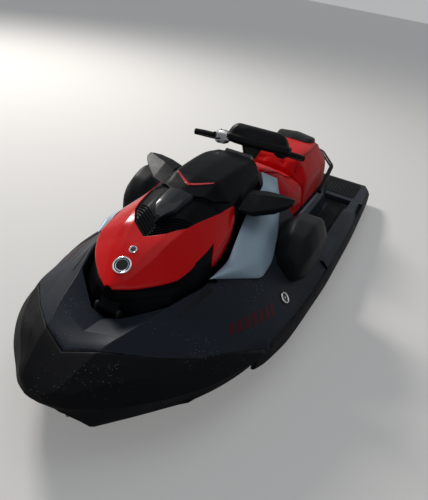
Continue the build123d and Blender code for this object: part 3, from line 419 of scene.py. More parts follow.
def tray_floor_mesh():
    """The flat floor of the tray, between its walls."""
    x = np.linspace(TRAY_REAR_X, TRAY_FRONT_X, 30)
    y = line_at(TRAY_OUTLINE, x)
    grid = np.stack([np.stack(matched(x, side * y, TRAY_FLOOR_Z), -1) for side in (1, -1)], axis=1)
    return surface("tray_floor", grid, inside=(900, 0, 0))


# x, top half-breadth, foot half-breadth and top z of the pedestal
PEDESTAL_STATIONS = [(430, 292, 335, 285), (-700, 292, 335, 285), (-1010, 262, 290, 262)]
# x and outer height of the gunwales
GUNWALE_HEIGHTS = [(240, 198), (0, 196), (-250, 193), (-450, 187), (-620, 178), (-740, 152), (-860, 126),
                   (-1000, 120)]
GUNWALE_INNER_Y = 492.0
GUNWALE_RISE = 32.0
PLATFORM_X = -1000.0
PLATFORM_Z = 152.0


def aft_deck_mesh():
    """Pedestal, footwells and gunwales as one section carried aft, and the platform behind them."""
    x = np.linspace(FORE_X, PLATFORM_X, 60)
    top_y, foot_y, top_z = (line_at([(row[0], row[i]) for row in PEDESTAL_STATIONS], x) for i in (1, 2, 3))
    outer_y = cubic_rows(RAIL_STATIONS, x)[:, 0] - RAIL_DEPTH
    outer_z = cubic_rows(GUNWALE_HEIGHTS, x)[:, 0]
    floor_z, inner_y = FOOTWELL_Z, GUNWALE_INNER_Y
    corners = corner_stack(
        (0.0, top_z), (top_y, top_z), (top_y + 4, top_z - 30), (foot_y, floor_z + 8), (foot_y + 8, floor_z),
        (inner_y - 10, floor_z), (inner_y, floor_z + 10), (inner_y, outer_z + GUNWALE_RISE),
        (outer_y - 34, outer_z + GUNWALE_RISE), (outer_y, outer_z), (outer_y, floor_z))
    section = rounded_line(corners, (8, 6, 8, 8, 8, 8, 7, 9, 5))
    wells = surface("wells", whole_grid(stations(x, section)), inside=(-300, 0, 0))
    rear = np.linspace(PLATFORM_X, STERN_X, 16)
    edge = cubic_rows(RAIL_STATIONS, rear)[:, 0] - RAIL_DEPTH
    half = corner_stack((0.0 * edge, PLATFORM_Z), (edge, PLATFORM_Z), (edge, JOINT_Z))
    slab = stations(rear, rounded_line(half, (7,)))
    slab = np.concatenate([dropped(slab[:1], JOINT_Z), slab, dropped(slab[-1:], JOINT_Z)])
    platform = surface("platform", whole_grid(slab), inside=(-1200, 0, 0))
    end_x, end_y, end_foot_y, end_z = PEDESTAL_STATIONS[-1]
    slope = [(end_x, end_y, end_z), (end_x - 12, end_y, end_z - 12), (end_x - 30, end_foot_y - 5, JOINT_Z)]
    tail = surface("tail", np.array([slope, slope * ACROSS]), inside=(-900, 0, 100))
    return joined("deck_aft", [wells, platform, tail])


def rub_rail_mesh():
    """The rub rail's section carried along the side: a bevelled bar with a rounded outer face."""
    x = np.linspace(STERN_X, 1150, 110)
    outer, top = columns_at(RAIL_STATIONS, x)
    inner = outer - RAIL_DEPTH
    corners = corner_stack(
        (inner, JOINT_Z), (outer - 12, JOINT_Z), (outer, JOINT_Z + 10),
        (outer - 2, top - 9), (outer - 9, top), (inner, top))
    section = rounded_line(corners, (4, 5, 5, 4), 3)
    return mirrored(surface("rail", stations(x, section), around=True, ends=(True, True)))


# Side fairings' plane, from three corners of the port one, and the cheeks behind them
FAIRING_CORNERS = np.array([(1203, 272, 502), (878, 396, 386), (270, 183, 637)], dtype=float)
FAIRING_NORMAL = np.cross(FAIRING_CORNERS[1] - FAIRING_CORNERS[0], FAIRING_CORNERS[2] - FAIRING_CORNERS[0])
FAIRING_NORMAL /= np.linalg.norm(FAIRING_NORMAL)
FAIRING_THICKNESS = 10.0
# x, inner y, top z
CHEEK_STATIONS = [(1150, 266, 476), (1042, 270, 486), (860, 240, 534), (640, 212, 566), (430, 194, 586),
                  (290, 186, 590)]
# x and z of the cheeks' lower outer edge
CHEEK_EDGE = [(290, 376), (878, 378), (1203, 494)]


def cheeks_mesh():
    """The deck's upstands behind the fairings: inner wall, top, and outer face along the fairing's back."""
    x = np.linspace(290, 1150, 40)
    inner, top = columns_at(CHEEK_STATIONS, x)
    reach = FAIRING_NORMAL @ FAIRING_CORNERS[0] - FAIRING_THICKNESS - 0.3

    def back(z):
        """Half-breadth of the plane behind the fairing, at height z."""
        return (reach - FAIRING_NORMAL[0] * x - FAIRING_NORMAL[2] * z) / FAIRING_NORMAL[1]

    low = TRAY_FLOOR_Z - 60
    edge = line_at(CHEEK_EDGE, x)
    corners = corner_stack(
        (inner, low), (inner, top), (back(top), top), (back(edge), edge), (back(edge) - 60, low))
    section = rounded_line(corners, (5, 3, 4), 3)
    return mirrored(surface("cheeks", stations(x, section), around=True, ends=(True, True)))


# Hood: x, centre z, cap y and z, brow y and z, flank y and z, base y
HOOD_STATIONS = [
    (1495, 506, 4, 505, 7, 504, 10, 502, 10),
    (1445, 535, 26, 532, 48, 526, 78, 508, 78),
    (1325, 603, 54, 600, 94, 588, 184, 528, 182),
    (1238, 634, 72, 642, 110, 634, 222, 556, 228),
    (1100, 700, 85, 690, 142, 655, 240, 575, 248),
    (958, 728, 92, 714, 166, 662, 226, 592, 234),
    (861, 752, 98, 746, 182, 660, 206, 600, 212),
    (600, 765, 108, 755, 152, 690, 166, 610, 172),
    (432, 745, 100, 736, 136, 690, 152, 610, 158),
]
HOOD_BASE_Z = 488.0
HOOD_FRONT_X, HOOD_REAR_X = 1495.0, 432.0
# The insert: x of its tip, its depth, and x and half-breadth of the brow line behind the tip
INSERT_TIP_X = 1280.0
INSERT_DEPTH = 7.0
BROW_LINE = [(1280, 0), (1238, 73), (1160, 122), (1060, 146), (958, 168), (861, 182), (842, 182)]
# lower edge of the panel, and the prong behind its notch: x, z above, z below
PANEL_LOWER = [(1500, 498), (1445, 502), (1322, 522), (1230, 566), (1100, 594), (1097, 519), (1010, 530),
               (916, 552), (868, 590), (842, 656)]
PRONG = [(1097, 594, 519), (1118, 581, 515), (1136, 568, 512), (1141, 560, 526)]
PANEL_REAR_X = 842.0
# The cap: its front edge's apex and how far that falls back out to a half-breadth, its rear end, and x and
# half-breadth of its sides
CAP_APEX_X, CAP_SLANT, CAP_HALF, CAP_REAR_X = 1040, 88, 124.0, 440
CAP_LINE = [(CAP_APEX_X, 0), (CAP_APEX_X - CAP_SLANT, 124), (861, 168), (600, 146), (CAP_REAR_X, 124)]
CORNER_SHARE = 0.13


def hood_corners(x):
    """Corners (y, z) of the hood's section at each x: starboard cap, centre, cap, brow, flank, base."""
    centre_z, cap_y, cap_z, brow_y, brow_z, flank_y, flank_z, base_y = columns_at(HOOD_STATIONS, x)
    return corner_stack(
        (-cap_y, cap_z), (0.0, centre_z), (cap_y, cap_z), (brow_y, brow_z), (flank_y, flank_z),
        (base_y, HOOD_BASE_Z))


def hood_point(x, s):
    """The hood's form at x and s, which counts corners from the centre: straight legs, curves near corners.

    Within w of corner k, with t = (s - k + w) / 2w, A and B a share w along the legs, the point is
    (1-t)^2 A + 2t(1-t) P + t^2 B.
    """
    x, s = matched(x, s)
    corners = hood_corners(x)
    k = np.clip(np.round(s), 0, 3).astype(int)
    leg = np.clip(np.floor(s), 0, 3).astype(int)

    def corner(i):
        """Corner i of each section, counted from the centreline."""
        return np.take_along_axis(corners, (i + 1)[..., None, None], axis=-2)[..., 0, :]

    along = (s - leg)[..., None]
    straight = corner(leg) * (1 - along) + corner(leg + 1) * along
    w = CORNER_SHARE
    t = np.clip((s - k + w) / (2 * w), 0, 1)[..., None]
    here, before, after = corner(k), corner(k - 1), corner(k + 1)
    bend = here + (1 - t)**2 * w * (before - here) + t**2 * w * (after - here)
    section = np.where((np.abs(s - k) < w)[..., None], bend, straight)
    return np.concatenate([x[..., None], section], axis=-1)


def hood_layer(x, s, lift):
    """Points that stand lift above the hood's form, along the normal that crosses its two slopes."""
    x, s, lift = matched(x, s, lift)
    ahead = hood_point(np.minimum(x + 3, HOOD_FRONT_X), s) - hood_point(np.maximum(x - 3, HOOD_REAR_X), s)
    across = hood_point(x, np.minimum(s + 0.05, 4)) - hood_point(x, np.maximum(s - 0.05, 0))
    normal = np.cross(ahead, across)
    normal /= np.maximum(np.linalg.norm(normal, axis=-1, keepdims=True), 1e-9)
    return hood_point(x, s) + normal * lift[..., None]


def share_at_breadth(x, y):
    """Where the hood's section at x reaches half-breadth y, counted in corners from the centreline."""
    c = hood_corners(np.asarray(x, dtype=float))[..., 1:, 0]
    return sum(np.clip((y - c[..., i]) / np.maximum(c[..., i + 1] - c[..., i], 1e-6), 0, 1) for i in range(3))


def share_at_height(x, z):
    """Where the hood's section at x falls to height z, counted in corners from the centreline."""
    c = hood_corners(np.asarray(x, dtype=float))[..., 1:, 1]
    steps = (np.clip((c[..., i] - z) / np.maximum(c[..., i] - c[..., i + 1], 1e-6), 0, 1) for i in (1, 2, 3))
    return 1 + sum(steps)


def red_panel_mesh(lift):
    """The red panel: at each x from the brow, its upper line, down to its slanting lower edge and notch."""
    corners = [INSERT_TIP_X, 1230.0, 1100.0, 1097.0]
    x = np.unique(np.concatenate([np.linspace(PANEL_REAR_X, 1492, 150), corners]))
    top = np.where(x < INSERT_TIP_X, share_at_breadth(x, line_at(BROW_LINE, x)), 0.0)
    low = share_at_height(x, line_at(PANEL_LOWER, x))
    v = np.linspace(0, 1, 46)
    s = top[:, None] + (np.maximum(low, top + 0.01) - top)[:, None] * v
    grid = hood_layer(x[:, None], s, lift)
    fore = surface("fore", whole_grid(grid[x >= INSERT_TIP_X]), inside=(1100, 0, 480))
    aft = mirrored(surface("aft", grid[x <= INSERT_TIP_X], inside=(1100, 0, 480)))
    x = np.linspace(PRONG[-1][0], PRONG[0][0], 16)
    above, below = (line_at([(row[0], row[i]) for row in PRONG], x) for i in (1, 2))
    ends = share_at_height(x, above)[:, None], share_at_height(x, below)[:, None]
    prong = hood_layer(x[:, None], ends[0] + (ends[1] - ends[0]) * np.linspace(0, 1, 14), lift)
    return joined("red_panel", [fore, aft, mirrored(surface("prong", prong, inside=(1100, 0, 480)))])


def insert_depth(x, s):
    """How far the insert is sunk: 1 inside the brow line and ahead of the cap, falling to 0 at its rim."""
    y = hood_point(x, s)[..., 1]
    inside = line_at(BROW_LINE, x) - y
    ahead = x - (CAP_APEX_X - CAP_SLANT * np.clip(y / CAP_HALF, 0, 1))
    return np.clip(inside / 6, 0, 1) * np.clip(ahead / 6 + 1, 0, 1) * (x < INSERT_TIP_X)


def hood_body_mesh():
    """The black body: the hood's form just below the panel, sunk in the insert, and closed at its base."""
    x = np.unique(np.concatenate([np.linspace(HOOD_REAR_X, HOOD_FRONT_X, 170), np.linspace(1225, 1283, 30)]))
    x = x[:, None]
    s = np.unique(np.concatenate([np.linspace(0, 4, 81), np.linspace(0.8, 2.2, 60)]))
    grid = hood_layer(x, s, -0.5 - INSERT_DEPTH * insert_depth(*matched(x, s)))
    grid = np.concatenate([grid, grid[:, -1:] * CENTRED], axis=1)
    rear = dropped(grid[:1] * CENTRED, 560)
    return surface("hood_shell", whole_grid(np.concatenate([rear, grid])), inside=(900, 0, 560))


def cap_mesh(lift):
    """The black cap over the hood's rear: columns run from its chevron edge aft, out to the cap line."""
    v = np.linspace(0, 1, 40)
    front = CAP_APEX_X - CAP_SLANT * v
    u = np.linspace(0, 1, 90)[:, None]
    x = CAP_REAR_X + (front - CAP_REAR_X) * u
    shoulder = CAP_APEX_X - CAP_SLANT
    reach = np.where(x > shoulder, CAP_HALF, line_at(CAP_LINE, np.minimum(x, shoulder)))
    s = share_at_breadth(x, v * reach)
    return surface("cap", whole_grid(hood_layer(x, s, lift)), inside=(700, 0, 560))


# The V on the cap: x of its apex, half-breadth, slope of its front edge, depth at the apex and loss of depth
# for each mm outwards, and height above the cap
CHEVRON_X, CHEVRON_HALF, CHEVRON_SLOPE = 956, 88, 0.80
CHEVRON_DEPTH, CHEVRON_TAPER, CHEVRON_RISE = 15, 0.09, 2.5


def chevron_mesh(lift):
    """The V on the cap: a band that widens towards its apex."""
    y = np.linspace(0, CHEVRON_HALF, 40)[:, None]
    x = CHEVRON_X - CHEVRON_SLOPE * y - (CHEVRON_DEPTH - CHEVRON_TAPER * y) * np.linspace(0, 1, 6)
    grid = hood_layer(x, share_at_breadth(x, y), lift)
    return surface("chevron", whole_grid(grid.swapaxes(0, 1)), inside=(900, 0, 560))


# Skirt of the hood: x and half-breadth, above and below
SKIRT_HIGH = [(1490, 0), (1488, 20), (1445, 76), (1325, 180), (1238, 226), (1100, 246), (958, 232),
              (861, 210), (600, 170), (432, 156), (432, 0)]
SKIRT_LOW = [(1470, 0), (1468, 46), (1456, 104), (1384, 190), (1238, 233), (1100, 238), (958, 220),
             (861, 202), (600, 170), (432, 156), (432, 0)]
SKIRT_Z = 396.0
# The hinge's place, and radius and half-breadth of its knuckle
HINGE_X, HINGE_Z = 1485.0, 400.0
KNUCKLE_RADIUS, KNUCKLE_HALF = 14.0, 42.0


def skirt_mesh():
    """The black chin: walls ruled between two outlines, a crease a third of the way down, a flat bottom."""
    high, low = rounded_line(SKIRT_HIGH, 7.0, 3), rounded_line(SKIRT_LOW, 7.0, 3)
    share = np.array([-0.05, 0.0, 0.3, 0.34, 0.93, 0.98, 1.0, 1.0])[:, None, None]
    inset = np.array([3.0, 0.0, 0.0, 4.0, 3.0, 5.0, 9.0, 60.0])[:, None, None]
    plan = high + np.clip(share, 0, 1) * (low - high)
    inwards = np.array([900.0, 0.0]) - plan
    inwards /= np.linalg.norm(inwards, axis=-1, keepdims=True)
    plan = plan + inwards * inset * (plan[..., 1:] > 1)
    level = HOOD_BASE_Z + share * (SKIRT_Z - HOOD_BASE_Z)
    grid = np.concatenate([plan, np.broadcast_to(level, plan[..., :1].shape)], axis=-1)
    grid = np.concatenate([grid, grid[-1:] * CENTRED])
    return surface("skirt", whole_grid(grid), inside=(900, 0, 470))


def knuckle_mesh():
    """The hinge's knuckle in front of the skirt: a bar's profile carried across the centreline."""
    x, z, r = HINGE_X, HINGE_Z, KNUCKLE_RADIUS
    turn = np.linspace(math.radians(50), math.radians(-130), 16)
    arc = np.stack([x + r * np.cos(turn), z + r * np.sin(turn)], -1)
    profile = np.concatenate([[(x - 60, z - 2), (x - 60, z + 40), (x - 16, z + 40)], arc])
    y = np.linspace(-KNUCKLE_HALF, KNUCKLE_HALF, 5)[:, None]
    grid = np.stack(matched(profile[:, 0], y, profile[:, 1]), -1)
    return surface("knuckle", grid, around=True, ends=(True, True))


RIB_TIP_X = 1200.0


def rib_mesh():
    """The smoked rib of the insert: an arrowhead that widens aft, flat on top and steep at its sides."""
    x = RIB_TIP_X - np.concatenate([[0, 3, 8], np.linspace(16, 192, 36)])[:, None]
    t = np.clip((RIB_TIP_X - x) / 190, 0, 1)
    half = 2 + 52 * np.minimum(t * 2.2, 0.72 + 0.28 * t)
    rise = 17.0 * np.clip(t * 9, 0.1, 1)**0.5
    v = np.array([0.0, 0.5, 0.84, 0.92, 1.0, 1.1, 1.16])
    shape = np.array([1.0, 1.0, 1.0, 0.95, 0.75, 0.1, -0.7])
    grid = hood_layer(x, share_at_breadth(x, half * v), rise * shape - 1.0)
    return surface("rib", whole_grid(grid), inside=(1100, 0, 500))


# Slats: how many, their pitch, x of the first one's front edge and how it falls back for each mm outwards
SLATS = 6
SLAT_PITCH = 14.0
SLAT_FRONT_X, SLAT_SLANT = 1262, 0.575


def slats_mesh():
    """Louvre slats in the insert, parallel to its front edge: wedges 6 mm high that run out to the brow."""
    slats = []
    for i in range(SLATS):
        front = SLAT_FRONT_X - SLAT_PITCH * i
        y = np.linspace(0, 140, 281)
        x = front - SLAT_SLANT * y
        inner = 2 + 62 * np.clip((RIB_TIP_X - x) / 90, 0, 0.72)
        open_part = y[(line_at(BROW_LINE, x) - y > 9) & (y > inner + 4)]
        y = np.linspace(open_part[0], open_part[-1], 16)[:, None]
        x = front - SLAT_SLANT * y + np.array([0.0, -1.0, -7.0, -8.0, -4.0])
        grid = hood_layer(x, share_at_breadth(x, y), np.array([-8.5, -1.5, -5.0, -8.5, -9.0]))
        slats.append(surface("slat", grid, around=True, ends=(True, True)))
    return mirrored(joined("slats", slats))


# Mirrors: y, rear x, ridge x, nose x, bottom z, nose z, top z
MIRROR_STATIONS = [(196, 640, 712, 822, 614, 640, 684), (262, 622, 694, 798, 606, 640, 692),
                   (336, 606, 656, 728, 618, 654, 692), (380, 604, 626, 676, 640, 668, 688),
                   (396, 606, 618, 650, 656, 674, 684)]


def mirror_mesh():
    """A mirror's housing: closed six-cornered sections carried outwards, a crisp ridge on top, mirrored."""
    table = np.array(MIRROR_STATIONS, dtype=float)
    y = np.unique(np.concatenate([np.linspace(table[0, 0], table[-1, 0], 21), table[:, 0]]))
    rear, ridge, nose, bottom, nose_z, top = (np.interp(y, table[:, 0], table[:, i]) for i in range(1, 7))
    corners = corner_stack(
        (rear, bottom + 6), (rear, top - 4), (ridge, top), (nose, nose_z), (nose - 22, bottom + 4),
        (rear + 14, bottom))
    section = rounded_loop(corners, (3, 3, 3, 5, 6, 5), 3)
    grid = np.stack(matched(section[..., 0], y[:, None], section[..., 1]), -1)
    return mirrored(surface("mirror", grid, around=True, ends=(True, True)))


# Side fairing: lower and upper edges from the front corner aft
FAIRING_LOWER = [(1203, 272, 502), (878, 396, 386), (734, 390, 399), (557, 345, 454), (354, 263, 550),
                 (262, 196, 625)]
FAIRING_UPPER = [(1203, 272, 502), (1042, 276, 505), (848, 236, 554), (723, 212, 586), (436, 178, 635),
                 (380, 142, 677)]
FAIRING_CROWN = 34.0


def fairing_mesh():
    """A fairing: straight rules between its two edges, raised outwards.

    At u along the edges and v between them the rise is crown sin(pi v)^0.8 min(1, 2.5 sin(pi u)).
    """
    lower, upper = (rounded_line(edge, 34.0, 5) for edge in (FAIRING_LOWER, FAIRING_UPPER))
    share = np.linspace(0, 1, 60)

    def spread(edge):
        """An edge's points at equal shares of its length."""
        reach = np.concatenate([[0], np.cumsum(np.linalg.norm(np.diff(edge, axis=0), axis=1))])
        return np.stack([np.interp(share * reach[-1], reach, edge[:, i]) for i in range(3)], -1)

    v = np.linspace(0, 1, 24)[None, :, None]
    u = share[:, None, None]
    flat = spread(lower)[:, None] * (1 - v) + spread(upper)[:, None] * v
    crown = FAIRING_CROWN * np.sin(np.pi * v)**0.8 * np.minimum(1, 2.5 * np.sin(np.pi * u))
    outwards = FAIRING_NORMAL * np.sign(FAIRING_NORMAL[1])
    return mirrored(surface("fairing", flat + crown * outwards, inside=(700, 0, 300)))


def on_hood(x, lift):
    """A point on the hood's centreline, lift above its form, and the form's normal there."""
    place = hood_layer(x, 0.0, lift)
    return place, (hood_layer(x, 0.0, lift + 1.0) - place)


# Badges on the panel: x and radius
BADGES = [(1412.0, 37.0), (1346.0, 16.0)]


def badge_meshes(lift):
    """Badges, turned: a chrome bead round a slightly domed black face with a raised inner rim."""
    rings, faces = [], []
    for x, r in BADGES:
        k = r / BADGES[0][1]
        rim = [(-2, r - 7 * k), (4.2 * k, r - 7 * k), (5.4 * k, r - 5.5 * k), (5.8 * k, r - 3.5 * k),
               (5.0 * k, r - 1.2 * k), (3.0 * k, r), (-2, r)]
        inner = [(3.0 * k, r - 14 * k), (4.4 * k, r - 13.4 * k), (4.6 * k, r - 12 * k), (3.0 * k, r - 11 * k)]
        dome = [(-2, r - 7.2 * k), (3.0 * k, r - 7.2 * k), (3.4 * k, r * 0.5), (3.8 * k, r * 0.2),
                (3.9 * k, 0.05)]
        rings += [turned("ring", *on_hood(x, lift), profile) for profile in (rim, inner)]
        faces.append(turned("face", *on_hood(x, lift), dome))
    return joined("rings", rings), joined("faces", faces)


# Steering frame: column leaning aft, bar turned to port
STEER_ORIGIN = np.array([232.0, 0.0, 635.0])
STEER_TILT = math.radians(12.0)
STEER_TURN = math.radians(25.0)
STEER_AXIS = np.array([-math.sin(STEER_TILT), 0.0, math.cos(STEER_TILT)])
STEER_AHEAD = np.array([math.cos(STEER_TILT) * math.cos(STEER_TURN), math.sin(STEER_TURN),
                        math.sin(STEER_TILT) * math.cos(STEER_TURN)])
STEER_SIDE = np.cross(STEER_AXIS, STEER_AHEAD)
BAR_Z = 118.0
GRIP_END = np.array([-100.0, 322.0, 98.0])
BAR_KNEE = np.array([0.0, 110.0, BAR_Z])
GRIP_LENGTH = 125.0
POD_START = GRIP_LENGTH + 2
POD_LENGTH = 88.0
BUTTON_Z = 36.0
# Control pods' buttons: share along the pod, place ahead of the bar, radius
BUTTONS = [(0.3, -12, 6.5), (0.62, -6, 5.0), (0.3, 8, 5.0)]
# Shares along a control pod and its half sizes ahead, aft, up and down
CONTROL_STATIONS = [(0.0, 19, 22, 19, 18), (0.05, 28, 32, 27, 27), (0.3, 38, 42, 37, 34),
                    (0.6, 44, 42, 38, 34), (0.9, 34, 32, 30, 26), (1.0, 24, 22, 20, 18)]
# The bar's cover: level, half lengths ahead and aft, half widths to starboard and to port
COVER_STATIONS = [(100, 38, 44, 108, 150), (104, 56, 60, 138, 192), (120, 66, 72, 164, 226),
                  (142, 66, 70, 164, 226), (150, 61, 64, 156, 216), (153, 54, 57, 147, 206),
                  (170, 52, 54, 140, 196), (186, 48, 50, 132, 184), (199, 40, 42, 120, 170),
                  (206, 32, 32, 108, 156), (209, 24, 24, 98, 144)]
# A finger lever's path from the pod: ahead, outwards, up
LEVER_ROUTE = [(20, 0, -4), (40, 6, -8), (48, 36, -12), (40, 84, -14), (34, 112, -13)]


def steered(points):
    """Points of the steering frame (ahead, to port, up the column) in the craft's frame."""
    points = np.asarray(points, dtype=float)
    return (STEER_ORIGIN + points[..., :1] * STEER_AHEAD + points[..., 1:2] * STEER_SIDE
            + points[..., 2:3] * STEER_AXIS)


def bar_side(side):
    """A grip's outer end and the unit step inwards along the bar, in the steering frame."""
    end = GRIP_END * np.array([1, side, 1])
    inwards = BAR_KNEE * np.array([1, side, 1]) - end
    return end, inwards / np.linalg.norm(inwards)


def grip_meshes():
    """Rubber grips, turned: rings every 9 mm between a rounded outer end and a flange at the inner one."""
    s = np.linspace(4, GRIP_LENGTH - 12, 110)
    rings = np.clip(np.sin(2 * np.pi * s / 9) * 2.2, -1, 1)
    r = 16.2 + 1.1 * rings + 0.9 * np.cos(2 * np.pi * (s - 50) / 150)
    profile = np.concatenate([[(0, 9), (0.6, 14.5), (2.0, 17.0)], np.stack([s, np.minimum(r, 18.2)], -1),
                              [(GRIP_LENGTH - 10, 17), (GRIP_LENGTH - 8, 20.5), (GRIP_LENGTH - 3, 20.5),
                               (GRIP_LENGTH - 1, 18), (GRIP_LENGTH - 1, 10)]])
    grips = []
    for side in (1, -1):
        end, inwards = bar_side(side)
        grips.append(turned("grip", steered(end), steered(end + inwards) - steered(end), profile, 36))
    return joined("grips", grips)


def pod_meshes():
    """Control pods on the bar, rounded sections (ahead, up) carried inwards, and the buttons on them."""
    pods, buttons = [], []
    for side in (1, -1):
        end, inwards = bar_side(side)
        s = np.linspace(0, 1, 30)
        ahead, aft, up, down = cubic_rows(CONTROL_STATIONS, s).T
        corners = corner_stack(
            (ahead, up * 0.55), (ahead * 0.6, up), (-aft * 0.7, up), (-aft, up * 0.4), (-aft, -down * 0.5),
            (-aft * 0.5, -down), (ahead * 0.7, -down), (ahead, -down * 0.5))
        section = rounded_loop(corners, 6.0)
        along = end + inwards * (POD_START + POD_LENGTH * s)[:, None]
        local = along[:, None] + section @ np.array([(1, 0, 0), (0, 0, 1)])
        pods.append(surface("pod", steered(local), around=True, ends=(True, True)))
        for share, ahead_place, r in BUTTONS:
            place = end + inwards * (POD_START + POD_LENGTH * share) + np.array([ahead_place, 0, BUTTON_Z])
            profile = [(-3, r), (2.6, r), (3.4, r - 0.8), (3.7, r * 0.5), (3.7, 0.05)]
            buttons.append(turned("button", steered(place), STEER_AXIS, profile, 24))
    return pods, joined("buttons", buttons)


def lever_meshes():
    """Finger levers ahead of the grips: flattened bars on a curved path that taper to a rounded tip."""
    levers = []
    for side in (1, -1):
        end, inwards = bar_side(side)
        route = end + inwards * (GRIP_LENGTH + 26) + np.array(LEVER_ROUTE) * np.array([1, side, 1])
        path = steered(smooth_path(route, 30))
        radius = np.interp(np.linspace(0, 1, 30), [0, 0.2, 0.9, 0.97, 1], [8, 7, 5.5, 5, 2.5])
        levers.append(tube("lever", path, radius, up=STEER_AXIS, flat=0.7))
    return joined("levers", levers)


def bar_pad_mesh():
    """The cover on the bar's centre: rounded outlines (ahead, to port) carried up, waisted below the top."""
    level, ahead, aft, starboard, port = np.array(COVER_STATIONS, dtype=float).T
    corners = corner_stack(
        (ahead, port * 0.5), (ahead * 0.5, port * 0.9), (-aft * 0.1, port), (-aft, port * 0.86),
        (-aft, port * 0.3), (-aft, -starboard * 0.3), (-aft, -starboard * 0.86), (-aft * 0.1, -starboard),
        (ahead * 0.5, -starboard * 0.9), (ahead, -starboard * 0.5))
    section = rounded_loop(corners, 12.0)
    local = np.concatenate([section, np.broadcast_to(level[:, None, None], section[..., :1].shape)], axis=-1)
    return surface("pad", steered(local), around=True, ends=(True, True))


# Seats: x, top z, top half-breadth, side y and z, foot half-breadth
SEAT_BASE_Z = 285.3
DRIVER_STATIONS = [(204, 590, 70, 130, 470, 165), (150, 614, 90, 168, 480, 212),
                   (60, 600, 118, 215, 475, 262), (-80, 540, 150, 246, 455, 283),
                   (-212, 504, 168, 256, 440, 285)]
PASSENGER_STATIONS = [(-217, 512, 172, 256, 440, 285), (-240, 572, 168, 258, 462, 285),
                      (-280, 602, 164, 260, 472, 285), (-500, 608, 172, 262, 480, 285),
                      (-760, 592, 160, 250, 470, 280), (-880, 548, 142, 224, 450, 262),
                      (-928, 470, 122, 198, 410, 240)]
# How far the top falls from crest to shoulder
SHOULDER_DROP = 16
# The cushions' swelling: frames of cloth, and its pressure
CLOTH_FRAMES = 20
CLOTH_PRESSURE = 4.0


def seat_section(stations_table, x, inset):
    """The seat's port half section at each x, inset all round: centre, crest, shoulder, side and foot."""
    top_z, top_y, side_y, side_z, foot_y = columns_at(stations_table, x)
    low = SEAT_BASE_Z + inset
    corners = corner_stack(
        (0.0, top_z - inset), (top_y * 0.7, top_z - inset - 5),
        (top_y - inset, top_z - SHOULDER_DROP - inset), (side_y - inset, side_z),
        (foot_y - inset, low + 12), (foot_y - inset - 6, low))
    return rounded_line(corners, (12, 14, 16, 8))


def seat_mesh(name, stations_table, inset):
    """A seat's start shape, smaller than the seat by inset: half sections mirrored, with both ends closed."""
    ends = sorted((stations_table[0][0], stations_table[-1][0]))
    x = np.linspace(ends[0] + inset, ends[1] - inset, 40)
    half = stations(x, seat_section(stations_table, x, inset))
    section = both_sides(np.concatenate([half, half[:, -1:] * CENTRED], axis=1))[:, 1:]
    return surface(name, section, around=True, ends=(True, True))


def padded_seat(name, mesh, node, voxel, cap):
    """A cushion from a start shape: remeshed, swollen by cloth pressure, no point moved more than cap mm."""
    thing = finish_mesh(name, mesh, "craft", look(SLOT_OF[node]), node, sharp=180)
    modified(thing, "REMESH", mode="VOXEL", voxel_size=voxel * MM)
    applied(thing)
    start = mesh_points(thing.data)
    cloth = modified(thing, "CLOTH")
    cloth.settings.use_pressure = True
    cloth.settings.uniform_pressure_force = CLOTH_PRESSURE
    cloth.settings.effector_weights.gravity = 0.0
    cloth.settings.quality = 4
    for frame_number in range(1, CLOTH_FRAMES + 1):
        bpy.context.scene.frame_set(frame_number)
    applied(thing)
    moved = mesh_points(thing.data) - start
    far = np.linalg.norm(moved, axis=1, keepdims=True)
    set_mesh_points(thing.data, start + moved * np.minimum(1, cap * MM / np.maximum(far, 1e-9)))
    bpy.context.scene.frame_set(1)
    modified(thing, "SMOOTH", factor=0.5, iterations=3)
    modified(thing, "SUBSURF", levels=1, render_levels=1)
    return thing


def drawn_in(node, inset):
    """A node's merged mesh drawn in by inset at its ends, sides and top, and not at its foot."""
    mesh = merged_copy(node, node + "_start")
    points = mesh_points(mesh)
    low, high = points.min(axis=0), points.max(axis=0)
    still = np.array([(low[0] + high[0]) / 2, (low[1] + high[1]) / 2, low[2]])
    set_mesh_points(mesh, still + (points - still) * (1 - inset * MM / (high - still)))
    return mesh


def mesh_points(mesh):
    """A mesh's points as an array."""
    flat = np.empty(len(mesh.vertices) * 3)
    mesh.vertices.foreach_get("co", flat)
    return flat.reshape(-1, 3)


def set_mesh_points(mesh, points):
    """Move a mesh's points to those of an array."""
    mesh.vertices.foreach_set("co", np.ascontiguousarray(points).ravel())
    mesh.update()


def applied(thing):
    """Bake an object's modifiers into its mesh."""
    seen = thing.evaluated_get(bpy.context.evaluated_depsgraph_get())
    mesh = bpy.data.meshes.new_from_object(seen)
    mesh.name = thing.data.name + "_applied"
    old, thing.data = thing.data, mesh
    bpy.data.meshes.remove(old)
    thing.modifiers.clear()
    mesh.shade_smooth()


def seam_meshes(radius):
    """Piping round the seats' upper edges: a cord that follows the shoulder, on each side."""
    cords = []
    for table in (DRIVER_STATIONS, PASSENGER_STATIONS):
        ends = sorted((table[0][0], table[-1][0]))
        x = np.linspace(ends[0] + 6, ends[1] - 6, 60)
        top_z, top_y, side_y, side_z, _ = columns_at(table, x)
        shoulder_z = top_z - SHOULDER_DROP
        path = np.stack([x, top_y + 0.03 * (side_y - top_y), shoulder_z + 0.03 * (side_z - shoulder_z)], -1)
        cords.append(tube("cord", path, radius, around=10))
    return mirrored(joined("cords", cords))


